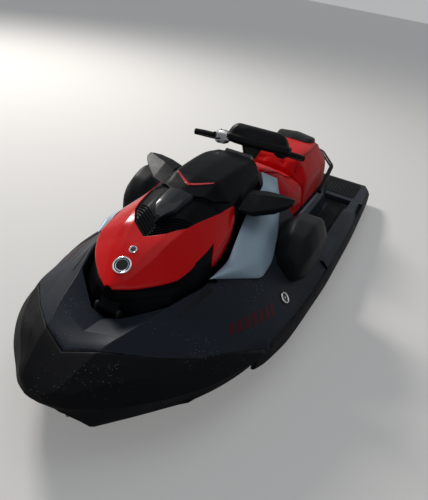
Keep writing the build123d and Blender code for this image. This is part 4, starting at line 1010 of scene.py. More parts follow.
# Audio pods: x, inner y and z, outer y, bottom z, shoulder z, top z
POD_REAR_X, POD_FRONT_X = 190, 668
POD_STATIONS = [(668, 386, 402, 506, 292, 384, 428), (640, 368, 410, 526, 284, 408, 470),
                (580, 342, 432, 544, 270, 440, 520), (480, 328, 462, 552, 262, 456, 543),
                (400, 328, 466, 553, 262, 452, 540), (330, 338, 460, 552, 262, 430, 516),
                (250, 370, 436, 546, 262, 396, 470), (190, 424, 400, 540, 264, 360, 430)]


def audio_pod_mesh():
    """A pod: rounded closed sections carried aft, with both ends drawn in over 14 mm, mirrored."""
    ends = np.array([0, 2, 7, 16])
    x = np.concatenate([POD_REAR_X + ends, np.linspace(220, 640, 38), POD_FRONT_X - ends[::-1]])
    inner_y, inner_z, outer_y, bottom_z, shoulder_z, top_z = columns_at(POD_STATIONS, x)
    corners = corner_stack(
        (inner_y + 40, bottom_z), (outer_y - 20, bottom_z), (outer_y, bottom_z + 40), (outer_y, shoulder_z),
        (outer_y - 44, top_z), (inner_y + 0.35 * (outer_y - inner_y), top_z), (inner_y, inner_z),
        (inner_y + 14, bottom_z + 40))
    section = rounded_loop(corners, (14, 12, 16, 18, 20, 18, 20, 14), 5)
    near = np.minimum(x - POD_REAR_X, POD_FRONT_X - x)
    drawn = (1 - 0.22 * (1 - np.clip(near / 14, 0, 1))**2.2)[:, None, None]
    middle = section.mean(axis=1, keepdims=True)
    section = middle + (section - middle) * drawn
    return mirrored(surface("pod", stations(x, section), around=True, ends=(True, True)))


# Mats: length, width, x and y of the centre; the platform's ribs have a pitch of their own
FOOTWELL_MAT = (1216, 140, -378, 412)
PLATFORM_MAT = (1000, 344, -1243, 0)
PLATFORM_MAT_PITCH = 17.2


def mat_mesh(place, base_z, pitch, rise, side=1, across=False):
    """A ribbed mat: round ribs of a pitch carried along it, on a slab whose rim is drawn in at the ends."""
    length, width, centre_x, centre_y = place
    count = int(width / pitch)
    y = np.linspace(-width / 2, width / 2, count * 8 + 1)
    height = 4.0 + rise * np.clip(np.abs(np.sin(np.pi * (y + width / 2) / pitch)) * 1.6 - 0.3, 0, 1)
    profile = np.concatenate([[(-width / 2, 0)], np.stack([y, height], -1), [(width / 2, 0)]])
    end = length / 2
    u = np.array([-end, 6 - end, 22 - end, end - 22, end - 6, end])
    shrink = np.array([0.86, 0.94, 1.0, 1.0, 0.94, 0.86])[:, None]
    low = np.array([0.3, 0.8, 1.0, 1.0, 0.8, 0.3])[:, None]
    along, over = np.broadcast_arrays(u[:, None], profile[:, 0] * shrink)
    z = base_z + profile[:, 1] * low
    x, y = (over, along) if across else (along, over)
    grid = np.stack(matched(x + centre_x, y + side * centre_y, z), -1)
    return surface("mat", grid, around=True, ends=(True, True))


def deck_point(x, share, lift=0.6, leg=3):
    """A point of the bow at x, share of the way along a leg of its section, lift above it.

    Leg 1 runs from the ridge to the knuckle and leg 3 from the knuckle to the gunwale, as the columns of
    BOW_STATIONS do.
    """
    x, share, lift = matched(x, share, lift)
    rows = cubic_rows(BOW_STATIONS, x)
    first, second = rows[..., leg:leg + 2], rows[..., leg + 2:leg + 4]
    run = second - first
    out = np.stack([-run[..., 1], run[..., 0]], -1) / np.linalg.norm(run, axis=-1, keepdims=True)
    return np.concatenate([x[..., None], first + share[..., None] * run + lift[..., None] * out], axis=-1)


def slit_shade_mesh():
    """A black decal on the bow's upper face, painted shade for the dark slit there: it tapers from the
    fairing's corner to a point ahead.
    """
    u = np.linspace(0, 1, 24)[:, None]
    v = np.array([-1.0, -0.8, 0.8, 1.0])
    lift = np.array([-1.0, 1.6, 1.6, -1.0])
    share = 0.06 + 0.36 * u + 0.2 * (1 - u) * v
    return mirrored(surface("spike", deck_point(1196 + 196 * u, share, lift, leg=1), inside=(1200, 200, 300)))


# Flank stripes: front x of the first, pitch, length and lean; the share of the flank where the first starts,
# what each one after it adds, and how much of the flank each spans
STRIPE_X, STRIPE_PITCH, STRIPE_LENGTH, STRIPE_LEAN = 1214, 48, 30, 34
STRIPE_START, STRIPE_STEP, STRIPE_SPAN = 0.40, 0.021, 0.27


def stripes_mesh(count):
    """Slanted bars on the flanks: each a parallelogram between two slanting lines, 0.6 mm above the deck."""
    bars = []
    u = np.linspace(0, 1, 10)[:, None]
    v = np.linspace(0, 1, 5)
    for i in range(count):
        x = STRIPE_X - STRIPE_PITCH * i - STRIPE_LENGTH * v + STRIPE_LEAN * u
        share = STRIPE_START + STRIPE_STEP * i + STRIPE_SPAN * u
        bars.append(surface("bar", deck_point(x, share), inside=(1000, 300, 0)))
    return mirrored(joined("bars", bars))


# Mooring rings: x, and the share of the way from knuckle to gunwale
RING_PLACE = (790.0, 0.69)


def ring_meshes():
    """Mooring rings: a round bead, a dark dished centre and a bolt's head, turned about the normal."""
    place = deck_point(*RING_PLACE, 0.0)
    normal = deck_point(*RING_PLACE, 1.0) - place
    a = np.linspace(-0.5 * math.pi, 1.5 * math.pi, 15)
    profile = np.stack([5 + 5 * np.sin(a), 25 + 5 * np.cos(a)], -1)
    bead = turned("bead", place, normal, profile, closed=(False, False))
    bolt = turned("bolt", place, normal, [(2, 6), (6, 6), (8, 4.6), (8.6, 0.05)], 6)
    dish = turned("dish", place, normal, [(-2, 26), (3.4, 23), (3, 20), (1.4, 12), (1.2, 0.05)], 40)
    return mirrored(joined("beads", [bead, bolt])), mirrored(dish)


# Shader helpers

def new_group(name, inputs, outputs):
    """A shader node group with float inputs (name, default), outputs (name, socket type) and end nodes."""
    tree = bpy.data.node_groups.new(name, "ShaderNodeTree")
    for label, value in inputs:
        socket = tree.interface.new_socket(label, in_out="INPUT", socket_type="NodeSocketFloat")
        socket.default_value = value
    for label, kind in outputs:
        tree.interface.new_socket(label, in_out="OUTPUT", socket_type=kind)
    return tree, tree.nodes.new("NodeGroupInput"), tree.nodes.new("NodeGroupOutput")


def add_node(tree, kind, **settings):
    """A new node in a tree, with its properties and its unlinked inputs set."""
    node = tree.nodes.new(kind)
    for key, value in settings.items():
        if key in node.inputs:
            node.inputs[key].default_value = value
        else:
            setattr(node, key, value)
    return node


def ramp(tree, source, low, high, to_low=0.0, to_high=1.0, smooth=False):
    """A source's value mapped from one range to another."""
    node = add_node(tree, "ShaderNodeMapRange", interpolation_type="SMOOTHSTEP" if smooth else "LINEAR")
    for socket, value in zip(("From Min", "From Max", "To Min", "To Max"), (low, high, to_low, to_high)):
        node.inputs[socket].default_value = value
    tree.links.new(source, node.inputs["Value"])
    return node.outputs["Result"]


def product(tree, *sources):
    """The sources' values multiplied."""
    result = sources[0]
    for source in sources[1:]:
        node = add_node(tree, "ShaderNodeMath", operation="MULTIPLY")
        tree.links.new(result, node.inputs[0])
        tree.links.new(source, node.inputs[1])
        result = node.outputs[0]
    return result


def moulded_surface():
    """Moulded plastic: fine grain raises the surface, and a broad mottle lets colour and gloss drift."""
    tree, given, out = new_group(
        "Moulded surface", [("Grain pitch", 500.0), ("Grain depth", 0.0001)],
        [("Normal", "NodeSocketVector"), ("Mottle", "NodeSocketFloat")])
    link = tree.links.new
    place = add_node(tree, "ShaderNodeTexCoord")
    grain = add_node(tree, "ShaderNodeTexNoise", Detail=4.0, Roughness=0.6)
    link(place.outputs["Object"], grain.inputs["Vector"])
    link(given.outputs["Grain pitch"], grain.inputs["Scale"])
    bump = add_node(tree, "ShaderNodeBump", Strength=0.6)
    link(given.outputs["Grain depth"], bump.inputs["Distance"])
    link(grain.outputs["Fac"], bump.inputs["Height"])
    mottle = add_node(tree, "ShaderNodeTexNoise", Scale=6.0, Detail=6.0, Roughness=0.65)
    link(place.outputs["Object"], mottle.inputs["Vector"])
    link(bump.outputs["Normal"], out.inputs["Normal"])
    link(mottle.outputs["Fac"], out.inputs["Mottle"])
    return tree


def salt_spots():
    """Dried spray: small round specks in drifts, thickest on faces that look up."""
    tree, given, out = new_group("Salt spots", [("Amount", 0.5)], [("Mask", "NodeSocketFloat")])
    link = tree.links.new
    place = add_node(tree, "ShaderNodeTexCoord")
    specks = add_node(tree, "ShaderNodeTexVoronoi", Scale=95.0, Randomness=1.0)
    link(place.outputs["Object"], specks.inputs["Vector"])
    drift = add_node(tree, "ShaderNodeTexNoise", Scale=6.0, Detail=3.0)
    link(place.outputs["Object"], drift.inputs["Vector"])
    facing = add_node(tree, "ShaderNodeNewGeometry")
    split = add_node(tree, "ShaderNodeSeparateXYZ")
    link(facing.outputs["Normal"], split.inputs[0])
    amount = product(tree, ramp(tree, specks.outputs["Distance"], 0.19, 0.10, smooth=True),
                     ramp(tree, drift.outputs["Fac"], 0.47, 0.7), ramp(tree, split.outputs["Z"], 0.0, 0.8),
                     given.outputs["Amount"])
    link(amount, out.inputs["Mask"])
    return tree


def edge_wear_and_highlight():
    """Rubbed edges with a painted edge highlight: convex edges, broken up by noise."""
    tree, given, out = new_group("Edge wear", [("Amount", 0.5)], [("Mask", "NodeSocketFloat")])
    link = tree.links.new
    place = add_node(tree, "ShaderNodeTexCoord")
    facing = add_node(tree, "ShaderNodeNewGeometry")
    breaks = add_node(tree, "ShaderNodeTexNoise", Scale=26.0, Detail=5.0)
    link(place.outputs["Object"], breaks.inputs["Vector"])
    link(product(tree, ramp(tree, facing.outputs["Pointiness"], 0.52, 0.6, smooth=True),
                 ramp(tree, breaks.outputs["Fac"], 0.42, 0.6), given.outputs["Amount"]), out.inputs["Mask"])
    return tree


def ribs():
    """Raised ribs along one axis of the object, rounded on top, as a height from 0 to 1."""
    tree, given, out = new_group("Ribs", [("Pitch", 0.02), ("Along X", 0.0), ("Along Y", 1.0)],
                                 [("Height", "NodeSocketFloat")])
    link = tree.links.new
    place = add_node(tree, "ShaderNodeTexCoord")
    split = add_node(tree, "ShaderNodeSeparateXYZ")
    link(place.outputs["Object"], split.inputs[0])
    x = product(tree, split.outputs["X"], given.outputs["Along X"])
    y = product(tree, split.outputs["Y"], given.outputs["Along Y"])
    total = add_node(tree, "ShaderNodeMath", operation="ADD")
    link(x, total.inputs[0])
    link(y, total.inputs[1])
    count = add_node(tree, "ShaderNodeMath", operation="DIVIDE")
    link(total.outputs[0], count.inputs[0])
    link(given.outputs["Pitch"], count.inputs[1])
    wave = add_node(tree, "ShaderNodeMath", operation="PINGPONG")
    wave.inputs[1].default_value = 0.5
    link(count.outputs[0], wave.inputs[0])
    link(ramp(tree, wave.outputs[0], 0.16, 0.3, smooth=True), out.inputs["Height"])
    return tree


def vinyl():
    """Marine vinyl: cells of leather grain with fine noise, as a normal and a mottle."""
    tree, given, out = new_group("Vinyl grain", [("Depth", 0.0003)],
                                 [("Normal", "NodeSocketVector"), ("Mottle", "NodeSocketFloat")])
    link = tree.links.new
    place = add_node(tree, "ShaderNodeTexCoord")
    cells = add_node(tree, "ShaderNodeTexVoronoi", Scale=330.0, feature="SMOOTH_F1")
    link(place.outputs["Object"], cells.inputs["Vector"])
    noise = add_node(tree, "ShaderNodeTexNoise", Scale=800.0, Detail=2.0)
    link(place.outputs["Object"], noise.inputs["Vector"])
    low = add_node(tree, "ShaderNodeBump", Strength=0.5, invert=True)
    link(given.outputs["Depth"], low.inputs["Distance"])
    link(cells.outputs["Distance"], low.inputs["Height"])
    high = add_node(tree, "ShaderNodeBump", Strength=0.3, Distance=0.0001)
    link(noise.outputs["Fac"], high.inputs["Height"])
    link(low.outputs["Normal"], high.inputs["Normal"])
    mottle = add_node(tree, "ShaderNodeTexNoise", Scale=9.0, Detail=5.0)
    link(place.outputs["Object"], mottle.inputs["Vector"])
    link(high.outputs["Normal"], out.inputs["Normal"])
    link(mottle.outputs["Fac"], out.inputs["Mottle"])
    return tree


GROUPS = {}


def placed_group(tree, maker, **values):
    """A maker's node group, built once, placed in a material with its own values."""
    if maker not in GROUPS:
        GROUPS[maker] = maker()
    node = add_node(tree, "ShaderNodeGroup", node_tree=GROUPS[maker])
    for name, value in values.items():
        node.inputs[name.replace("_", " ")].default_value = value
    return node


def mixed(tree, mask, first, second, kind="RGBA"):
    """first where the mask is 0 and second where it is 1; each is a socket or a plain value."""
    node = add_node(tree, "ShaderNodeMix", data_type=kind)
    tree.links.new(mask, node.inputs["Factor"])
    picked = {"RGBA": ("A_Color", "B_Color"), "FLOAT": ("A_Float", "B_Float")}[kind]
    sockets = {socket.identifier: socket for socket in node.inputs}
    for identifier, value in zip(picked, (first, second)):
        if isinstance(value, bpy.types.NodeSocket):
            tree.links.new(value, sockets[identifier])
        else:
            sockets[identifier].default_value = value
    wanted = {"RGBA": "Result_Color", "FLOAT": "Result_Float"}[kind]
    return next(socket for socket in node.outputs if socket.identifier == wanted)


def painted(name, colour, roughness, grain=500.0, depth=0.00006, metallic=0.0, coat=0.0, salt=0.0, wear=0.0,
            vary=0.12, rib=None, cloth=0.0, specular=0.1):
    """A finish: a colour that drifts a little, grain or ribs with painted shade between them or vinyl cells,
    dried spray, and rubbed edges with a painted highlight.
    """
    material = bpy.data.materials.new(name)
    material.use_nodes = True
    tree = material.node_tree
    link = tree.links.new
    shader = tree.nodes["Principled BSDF"]
    shader.inputs["Metallic"].default_value = metallic
    shader.inputs["Coat Weight"].default_value = coat
    shader.inputs["Coat Roughness"].default_value = 0.05
    shader.inputs["Specular IOR Level"].default_value = specular
    if cloth:
        surface_node = placed_group(tree, vinyl, Depth=cloth)
        shader.inputs["Sheen Weight"].default_value = 0.03
        shader.inputs["Sheen Roughness"].default_value = 0.4
    else:
        surface_node = placed_group(tree, moulded_surface, Grain_pitch=grain, Grain_depth=depth)
    normal, mottle = surface_node.outputs["Normal"], surface_node.outputs["Mottle"]
    colour_out = mixed(tree, mottle, [*(c * (1 - vary) for c in colour), 1],
                       [*(min(1, c * (1 + vary)) for c in colour), 1])
    rough_out = ramp(tree, mottle, 0.3, 0.7, max(0.02, roughness * 0.82), min(1, roughness * 1.18))
    # Convex edges move towards 0.6 c + 0.06, which is lighter on the dark finishes: partly wear, partly a
    # painted highlight.
    if wear:
        edge_wear_highlight_mask = placed_group(tree, edge_wear_and_highlight, Amount=wear).outputs["Mask"]
        colour_out = mixed(tree, edge_wear_highlight_mask, colour_out, [*(c * 0.6 + 0.06 for c in colour), 1])
        rough_out = mixed(tree, edge_wear_highlight_mask, rough_out, 0.6, "FLOAT")
    if salt:
        spots = placed_group(tree, salt_spots, Amount=salt).outputs["Mask"]
        colour_out = mixed(tree, spots, colour_out, (0.36, 0.36, 0.34, 1))
        rough_out = mixed(tree, spots, rough_out, 0.9, "FLOAT")
    if rib:
        pitch, along_x, along_y, height = rib
        rib_node = placed_group(tree, ribs, Pitch=pitch, Along_X=along_x, Along_Y=along_y)
        raised = add_node(tree, "ShaderNodeBump", Distance=height)
        link(rib_node.outputs["Height"], raised.inputs["Height"])
        link(normal, raised.inputs["Normal"])
        normal = raised.outputs["Normal"]
        # The grooves between the ribs take half the colour: painted shade.
        colour_out = mixed(tree, rib_node.outputs["Height"], [*(c * 0.5 for c in colour), 1], colour_out)
    link(colour_out, shader.inputs["Base Color"])
    link(rough_out, shader.inputs["Roughness"])
    link(normal, shader.inputs["Normal"])
    return material


# Finishes by material slot: colours are linear, grain and ribs in metres
FINISHES = {
    "hull_black": dict(colour=(0.006, 0.006, 0.007), roughness=0.3, coat=0.1),
    "deck_graphite": dict(colour=(0.019, 0.0235, 0.031), roughness=0.38, specular=0.045, salt=0.55, wear=0.4),
    "bumper_black": dict(colour=(0.006, 0.0062, 0.007), roughness=0.5, specular=0.05, grain=430.0,
                         depth=0.00016, salt=0.7, wear=0.35),
    "rail_black": dict(colour=(0.008, 0.008, 0.009), roughness=0.55, depth=0.0001, wear=0.3),
    "fairing_grey": dict(colour=(0.31, 0.415, 0.485), roughness=0.42, metallic=0.25, coat=0.1, salt=0.25,
                         vary=0.05),
    "hood_red": dict(colour=(0.62, 0.0003, 0.0012), roughness=0.25, coat=0.03, specular=0.14, vary=0.05,
                     depth=0.00002, salt=0.12),
    "hood_black": dict(colour=(0.0045, 0.005, 0.006), roughness=0.4, specular=0.03, salt=0.2, depth=0.00006),
    "window_smoke": dict(colour=(0.007, 0.008, 0.011), roughness=0.3, coat=0.2, vary=0.05),
    "accent_red": dict(colour=(0.5, 0.001, 0.01), roughness=0.25, coat=0.6),
    "badge_black": dict(colour=(0.006, 0.006, 0.007), roughness=0.18, coat=0.5, vary=0.05),
    "stripe_red": dict(colour=(0.045, 0.001, 0.004), roughness=0.42, specular=0.12, vary=0.2, wear=0.5),
    "badge_chrome": dict(colour=(0.62, 0.64, 0.68), roughness=0.14, metallic=1.0, vary=0.03),
    "mirror_black": dict(colour=(0.005, 0.0055, 0.0065), roughness=0.42, specular=0.05, depth=0.0001,
                         salt=0.3),
    "mirror_face": dict(colour=(0.75, 0.78, 0.8), roughness=0.03, metallic=1.0, vary=0.02),
    "seat_red": dict(colour=(0.56, 0.001, 0.0025), roughness=0.4, cloth=0.0003, vary=0.08),
    "piping_red": dict(colour=(0.16, 0.0015, 0.003), roughness=0.5),
    "seat_black": dict(colour=(0.009, 0.009, 0.0095), roughness=0.48, cloth=0.0003),
    "trim_grey": dict(colour=(0.13, 0.15, 0.17), roughness=0.4, wear=0.2),
    "mat_black": dict(colour=(0.010, 0.0105, 0.0115), roughness=0.72, depth=0.0003, grain=380.0,
                      rib=(0.024, 0.0, 1.0, 0.0025)),
    "console_black": dict(colour=(0.0085, 0.009, 0.0105), roughness=0.45, depth=0.00015),
    "gauge_black": dict(colour=(0.006, 0.006, 0.008), roughness=0.15, coat=0.6),
    "bin_black": dict(colour=(0.008, 0.008, 0.009), roughness=0.6, depth=0.0002),
    "hinge_steel": dict(colour=(0.012, 0.012, 0.013), roughness=0.45, wear=0.3),
    "bar_black": dict(colour=(0.008, 0.008, 0.009), roughness=0.35),
    "grip_black": dict(colour=(0.0075, 0.0075, 0.008), roughness=0.7, depth=0.0003, grain=600.0),
    "pod_silver": dict(colour=(0.36, 0.37, 0.38), roughness=0.3, metallic=0.85, wear=0.2),
    "pad_black": dict(colour=(0.0085, 0.0085, 0.0095), roughness=0.45),
    "engine_grey": dict(colour=(0.15, 0.15, 0.16), roughness=0.5, metallic=0.4),
    "pump_alu": dict(colour=(0.38, 0.39, 0.4), roughness=0.45, metallic=0.9, depth=0.0002, wear=0.2),
    "nozzle_black": dict(colour=(0.012, 0.012, 0.013), roughness=0.5, depth=0.0002, wear=0.3),
    "impeller_steel": dict(colour=(0.55, 0.55, 0.56), roughness=0.22, metallic=1.0),
    "sponson_black": dict(colour=(0.009, 0.009, 0.01), roughness=0.5, depth=0.0002, wear=0.3),
    "eye_steel": dict(colour=(0.6, 0.6, 0.61), roughness=0.2, metallic=1.0),
}


def colour_of(slot, name, description):
    """A colour property whose default is the slot's own colour."""
    return bpy.props.FloatVectorProperty(name=name, description=description, subtype="COLOR", size=3,
                                         min=0.0, max=1.0, default=FINISHES[slot]["colour"])


def length_of(name, description, default, low, high):
    """A length property, in metres."""
    return bpy.props.FloatProperty(name=name, description=description, default=default, min=low, max=high,
                                   unit="LENGTH")


class WatercraftColours(bpy.types.PropertyGroup):
    """Colours of the finishes, named by material slot"""
    hood_red: colour_of("hood_red", "Hood panel", "Paint of the hood's bright panel")
    hood_black: colour_of("hood_black", "Hood body", "Moulding behind and below the hood's panel, and cap")
    deck_graphite: colour_of("deck_graphite", "Deck", "Deck moulding round the hood and along the gunwales")
    fairing_grey: colour_of("fairing_grey", "Side fairings", "Panels that lean in beside the hood")
    bumper_black: colour_of("bumper_black", "Bumper", "Nose piece that wraps the bow")
    seat_red: colour_of("seat_red", "Seat vinyl", "Cover of the driver's and the passengers' seat")
    seat_black: colour_of("seat_black", "Tail pad", "Cover of the pad behind the passengers")
    stripe_red: colour_of("stripe_red", "Flank stripes", "Slanted bars on the deck's flanks")


class WatercraftSizes(bpy.types.PropertyGroup):
    """Sizes of the dressed pieces that don't change the craft's own size"""
    padding: length_of("Padding", "How far a cushion's start shape lies inside it", 0.005, 0.0, 0.012)
    piping: length_of("Piping", "Radius of the cord along the seats' edges", 0.0026, 0.001, 0.006)
    panel_lift: length_of("Panel lift", "How proud the hood's bright panel stands", 0.003, 0.001, 0.006)
    cap_lift: length_of("Cap lift", "How proud the hood's cap stands", 0.009, 0.004, 0.012)
    mat_pitch: length_of("Mat pitch", "Distance between ribs of the footwell mats", 0.014, 0.007, 0.028)
    mat_rise: length_of("Mat rise", "Height of the mats' ribs", 0.0024, 0.0005, 0.005)
    stripes: bpy.props.IntProperty(name="Stripes", description="How many slanted bars each flank has",
                                   default=7, min=1, max=9)


def look(slot):
    """The material of a slot, made once, in the scene's colour for it where there is one."""
    made = bpy.data.materials.get(slot + "_look")
    chosen = getattr(bpy.context.scene.watercraft_colours, slot, None)
    values = dict(FINISHES[slot], colour=tuple(chosen)) if chosen is not None else FINISHES[slot]
    return made or painted(slot + "_look", **values)


# Operators, one for each piece or group of like pieces

def shown(name, mesh, body, node, sharp=26.0, slot=None):
    """A finished piece in the look of its node's slot, or of another, that stands for the node."""
    return finish_mesh(name, mesh, body, look(slot or SLOT_OF[node]), node, sharp)


class CadFinish(bpy.types.Operator):
    """Give every CAD node the look of its material slot"""
    bl_idname = "watercraft.cad_finish"
    bl_label = "CAD finishes"

    def execute(self, context):
        for node, slot in SLOT_OF.items():
            mesh = frame["nodes"][node].data
            mesh.materials.clear()
            mesh.materials.append(look(slot))
        return {"FINISHED"}


class DeckPieces(bpy.types.Operator):
    """Make the deck moulding: bow, tray, cheeks, pedestal, footwells, gunwales and platform"""
    bl_idname = "watercraft.deck"
    bl_label = "Deck"

    def execute(self, context):
        sizes = context.scene.watercraft_sizes
        walled(shown("deck_bow", deck_bow_mesh(), "craft", "deck"), 4.0)
        shown("deck_tray_floor", tray_floor_mesh(), "craft", "deck")
        shown("deck_cheeks", cheeks_mesh(), "craft", "deck")
        shown("deck_aft", aft_deck_mesh(), "craft", "deck")
        shown("deck_stripes", stripes_mesh(sizes.stripes), "craft", "deck", slot="stripe_red")
        # A black decal on each side of the bow paints the shade of the slit ahead of the fairing.
        shown("deck_spikes", slit_shade_mesh(), "craft", "deck", slot="rail_black")
        walled(shown("fairing_panels", fairing_mesh(), "craft", "side_fairings", 30), 8.0, 1.5)
        return {"FINISHED"}


class BumperAndRail(bpy.types.Operator):
    """Make the front bumper and the rub rail along the sides"""
    bl_idname = "watercraft.bumper_and_rail"
    bl_label = "Bumper and rub rail"

    def execute(self, context):
        walled(shown("bumper_shell", bumper_mesh(), "craft", "front_bumper"), 4.0)
        shown("rail_bar", rub_rail_mesh(), "craft", "rub_rail")
        return {"FINISHED"}


class Hood(bpy.types.Operator):
    """Make the hood: red panel, black body with its skirt and knuckle, cap, V, rib, slats and badges"""
    bl_idname = "watercraft.hood"
    bl_label = "Hood"

    def execute(self, context):
        sizes = context.scene.watercraft_sizes
        panel_lift, cap_lift = sizes.panel_lift / MM, sizes.cap_lift / MM
        walled(shown("hood_red_panel", red_panel_mesh(panel_lift), "hood", "hood_panel"), 3.0, 1.0)
        walled(shown("hood_black_cap", cap_mesh(cap_lift), "hood", "hood_cap"), 9.0, 1.5)
        walled(shown("hood_chevron", chevron_mesh(cap_lift + CHEVRON_RISE), "hood", "cap_accent"), 3.0, 0.5)
        for name, mesh in (("hood_shell", hood_body_mesh()), ("hood_skirt", skirt_mesh()),
                           ("hood_knuckle", knuckle_mesh())):
            shown(name, mesh, "hood", "hood_body")
        shown("hood_rib", rib_mesh(), "hood", "hood_window")
        shown("hood_slats", slats_mesh(), "hood", "hood_vents")
        shown("mirror_shells", mirror_mesh(), "hood", "mirror_housings", 22)
        rings, faces = badge_meshes(panel_lift)
        shown("badge_rings", rings, "hood", "badges", 40)
        shown("badge_faces", faces, "hood", "badges", 40, "badge_black")
        return {"FINISHED"}


class Seats(bpy.types.Operator):
    """Pad the two seats and the tail pad in cloth, and lay piping along the seats' edges"""
    bl_idname = "watercraft.seats"
    bl_label = "Seats"

    def execute(self, context):
        sizes = context.scene.watercraft_sizes
        inset = sizes.padding / MM
        driver = seat_mesh("driver", DRIVER_STATIONS, inset)
        padded_seat("seat_driver", driver, "seat_front", voxel=8.0, cap=7.0)
        passengers = seat_mesh("passengers", PASSENGER_STATIONS, inset)
        padded_seat("seat_passengers", passengers, "seat_rear", voxel=9.0, cap=7.0)
        padded_seat("seat_tail_pad", drawn_in("seat_tail", inset), "seat_tail", voxel=6.0, cap=6.0)
        shown("seat_piping", seam_meshes(sizes.piping / MM), "craft", "seat_rear", 60, "piping_red")
        return {"FINISHED"}


class Steering(bpy.types.Operator):
    """Make grips, control pods with their buttons, levers and the cover of the handlebar"""
    bl_idname = "watercraft.steering"
    bl_label = "Handlebar"

    def execute(self, context):
        pods, buttons = pod_meshes()
        shown("bar_grips", grip_meshes(), "steering", "grips", 50)
        shown("bar_pod_port", pods[0], "steering", "control_pods", 35, "console_black")
        shown("bar_pod_starboard", pods[1], "steering", "control_pods", 35)
        shown("bar_buttons", buttons, "steering", "control_pods", 40, "console_black")
        shown("bar_levers", lever_meshes(), "steering", "control_pods", 50, "bar_black")
        shown("bar_cover", bar_pad_mesh(), "steering", "bar_pad", 30)
        return {"FINISHED"}


class SidePieces(bpy.types.Operator):
    """Make the audio pods, deck mats and mooring rings"""
    bl_idname = "watercraft.side_pieces"
    bl_label = "Pods, mats and rings"

    def execute(self, context):
        shown("pods_housing", audio_pod_mesh(), "craft", "audio_pods", 40, "console_black")
        sizes = context.scene.watercraft_sizes
        pitch, rise = sizes.mat_pitch / MM, sizes.mat_rise / MM
        mats = [mat_mesh(FOOTWELL_MAT, FOOTWELL_Z, pitch, rise, side) for side in (1, -1)]
        shown("mats_ribbed", joined("mats", mats), "craft", "footwell_mats", 60)
        platform = mat_mesh(PLATFORM_MAT, PLATFORM_Z, PLATFORM_MAT_PITCH, rise, across=True)
        shown("mat_platform", platform, "craft", "platform_mat", 60)
        beads, dishes = ring_meshes()
        shown("ring_beads", beads, "craft", "mooring_rings", 50)
        shown("ring_dishes", dishes, "craft", "mooring_rings", 50, "badge_black")
        return {"FINISHED"}


# CAD nodes shown as merged copies with softened edges: node, body, bevel
SOFTENED = [
    ("hull", "craft", 3.0), ("console", "craft", 3.0), ("gauge", "craft", 2.0), ("seat_trim", "craft", 2.0),
    ("steering_stem", "steering", 2.0), ("handlebar", "steering", 0.0), ("grab_handle", "craft", 0.0),
    ("sponsons", "craft", 3.0), ("reverse_bucket", "bucket", 2.0), ("nozzle", "nozzle", 1.0),
]


class SoftenedNodes(bpy.types.Operator):
    """Show moulded CAD nodes as copies with softened edges"""
    bl_idname = "watercraft.softened"
    bl_label = "Softened mouldings"

    def execute(self, context):
        for node, body, bevel in SOFTENED:
            softened_copy(node, body, bevel)
        return {"FINISHED"}


# The floor: half size in metres, base colour, and what the camera sees of it beyond its lit colour
FLOOR_HALF = 60
FLOOR_COLOUR = (0.47, 0.46, 0.44, 1)
GLOW_COLOUR = (0.98, 0.97, 0.95, 1)
FLOOR_GLOW = 0.2
# The world's colour for diffuse light, and as the camera, reflections and glass see it
WORLD_LIGHT = (0.13, 0.145, 0.175, 1)
WORLD_SEEN = (0.45, 0.46, 0.47, 1)
# name, place, size, watts, colour
LAMPS = [
    ("key", (-2.4, -6.2, 5.2), 1.8, 640, (1.0, 0.97, 0.93)),
    ("sky", (0.0, -0.5, 8.0), 6.0, 110, (0.93, 0.96, 1.0)),
    ("fill", (6.0, 3.5, 4.0), 4.0, 45, (1.0, 1.0, 1.0)),
]
LAMP_AIM = (0.3, 0, 0.3)
# The photograph's viewpoint: yaw, pitch down, roll; focal length in pixels of a frame so many pixels tall
CAMERA_PLACE = (2.6806, 0.8217, 1.5466)
CAMERA_TURN = (3.501486, 0.524481, 0.184842)
CAMERA_FOCAL_PX = 480.43
FRAME_HEIGHT_PX = 500
SENSOR_MM = 36.0


def make_floor():
    """The floor at the waterline, which looks a little paler to the camera than its light makes it."""
    h = FLOOR_HALF
    mesh = bpy.data.meshes.new("floor")
    mesh.from_pydata([(-h, -h, 0), (h, -h, 0), (h, h, 0), (-h, h, 0)], [], [(0, 1, 2, 3)])
    linked("floor", mesh)
    material = bpy.data.materials.new("floor_look")
    material.use_nodes = True
    tree = material.node_tree
    shader = tree.nodes["Principled BSDF"]
    shader.inputs["Base Color"].default_value = FLOOR_COLOUR
    shader.inputs["Roughness"].default_value = 0.85
    shader.inputs["Emission Color"].default_value = GLOW_COLOUR
    glow = add_node(tree, "ShaderNodeMath", operation="MULTIPLY")
    glow.inputs[1].default_value = FLOOR_GLOW
    tree.links.new(add_node(tree, "ShaderNodeLightPath").outputs["Is Camera Ray"], glow.inputs[0])
    tree.links.new(glow.outputs[0], shader.inputs["Emission Strength"])
    mesh.materials.append(material)


def make_world():
    """The studio round the craft: one colour for diffuse light, a paler one for what is seen of it."""
    world = bpy.data.worlds.new("studio")
    bpy.context.scene.world = world
    world.use_nodes = True
    tree = world.node_tree
    rays = add_node(tree, "ShaderNodeLightPath")
    seen = rays.outputs["Is Camera Ray"]
    for ray in ("Is Glossy Ray", "Is Transmission Ray"):
        either = add_node(tree, "ShaderNodeMath", operation="MAXIMUM")
        tree.links.new(seen, either.inputs[0])
        tree.links.new(rays.outputs[ray], either.inputs[1])
        seen = either.outputs[0]
    tree.links.new(mixed(tree, seen, WORLD_LIGHT, WORLD_SEEN), tree.nodes["Background"].inputs["Color"])


def make_lamps():
    """The lamps, all aimed at one point of the craft."""
    for name, place, size, power, colour in LAMPS:
        lamp = bpy.data.lights.new(name, "AREA")
        lamp.size, lamp.energy, lamp.color = size, power, colour
        thing = linked(name, lamp)
        thing.location = place
        thing.rotation_mode = "QUATERNION"
        thing.rotation_quaternion = (Vector(LAMP_AIM) - Vector(place)).to_track_quat("-Z", "Y")


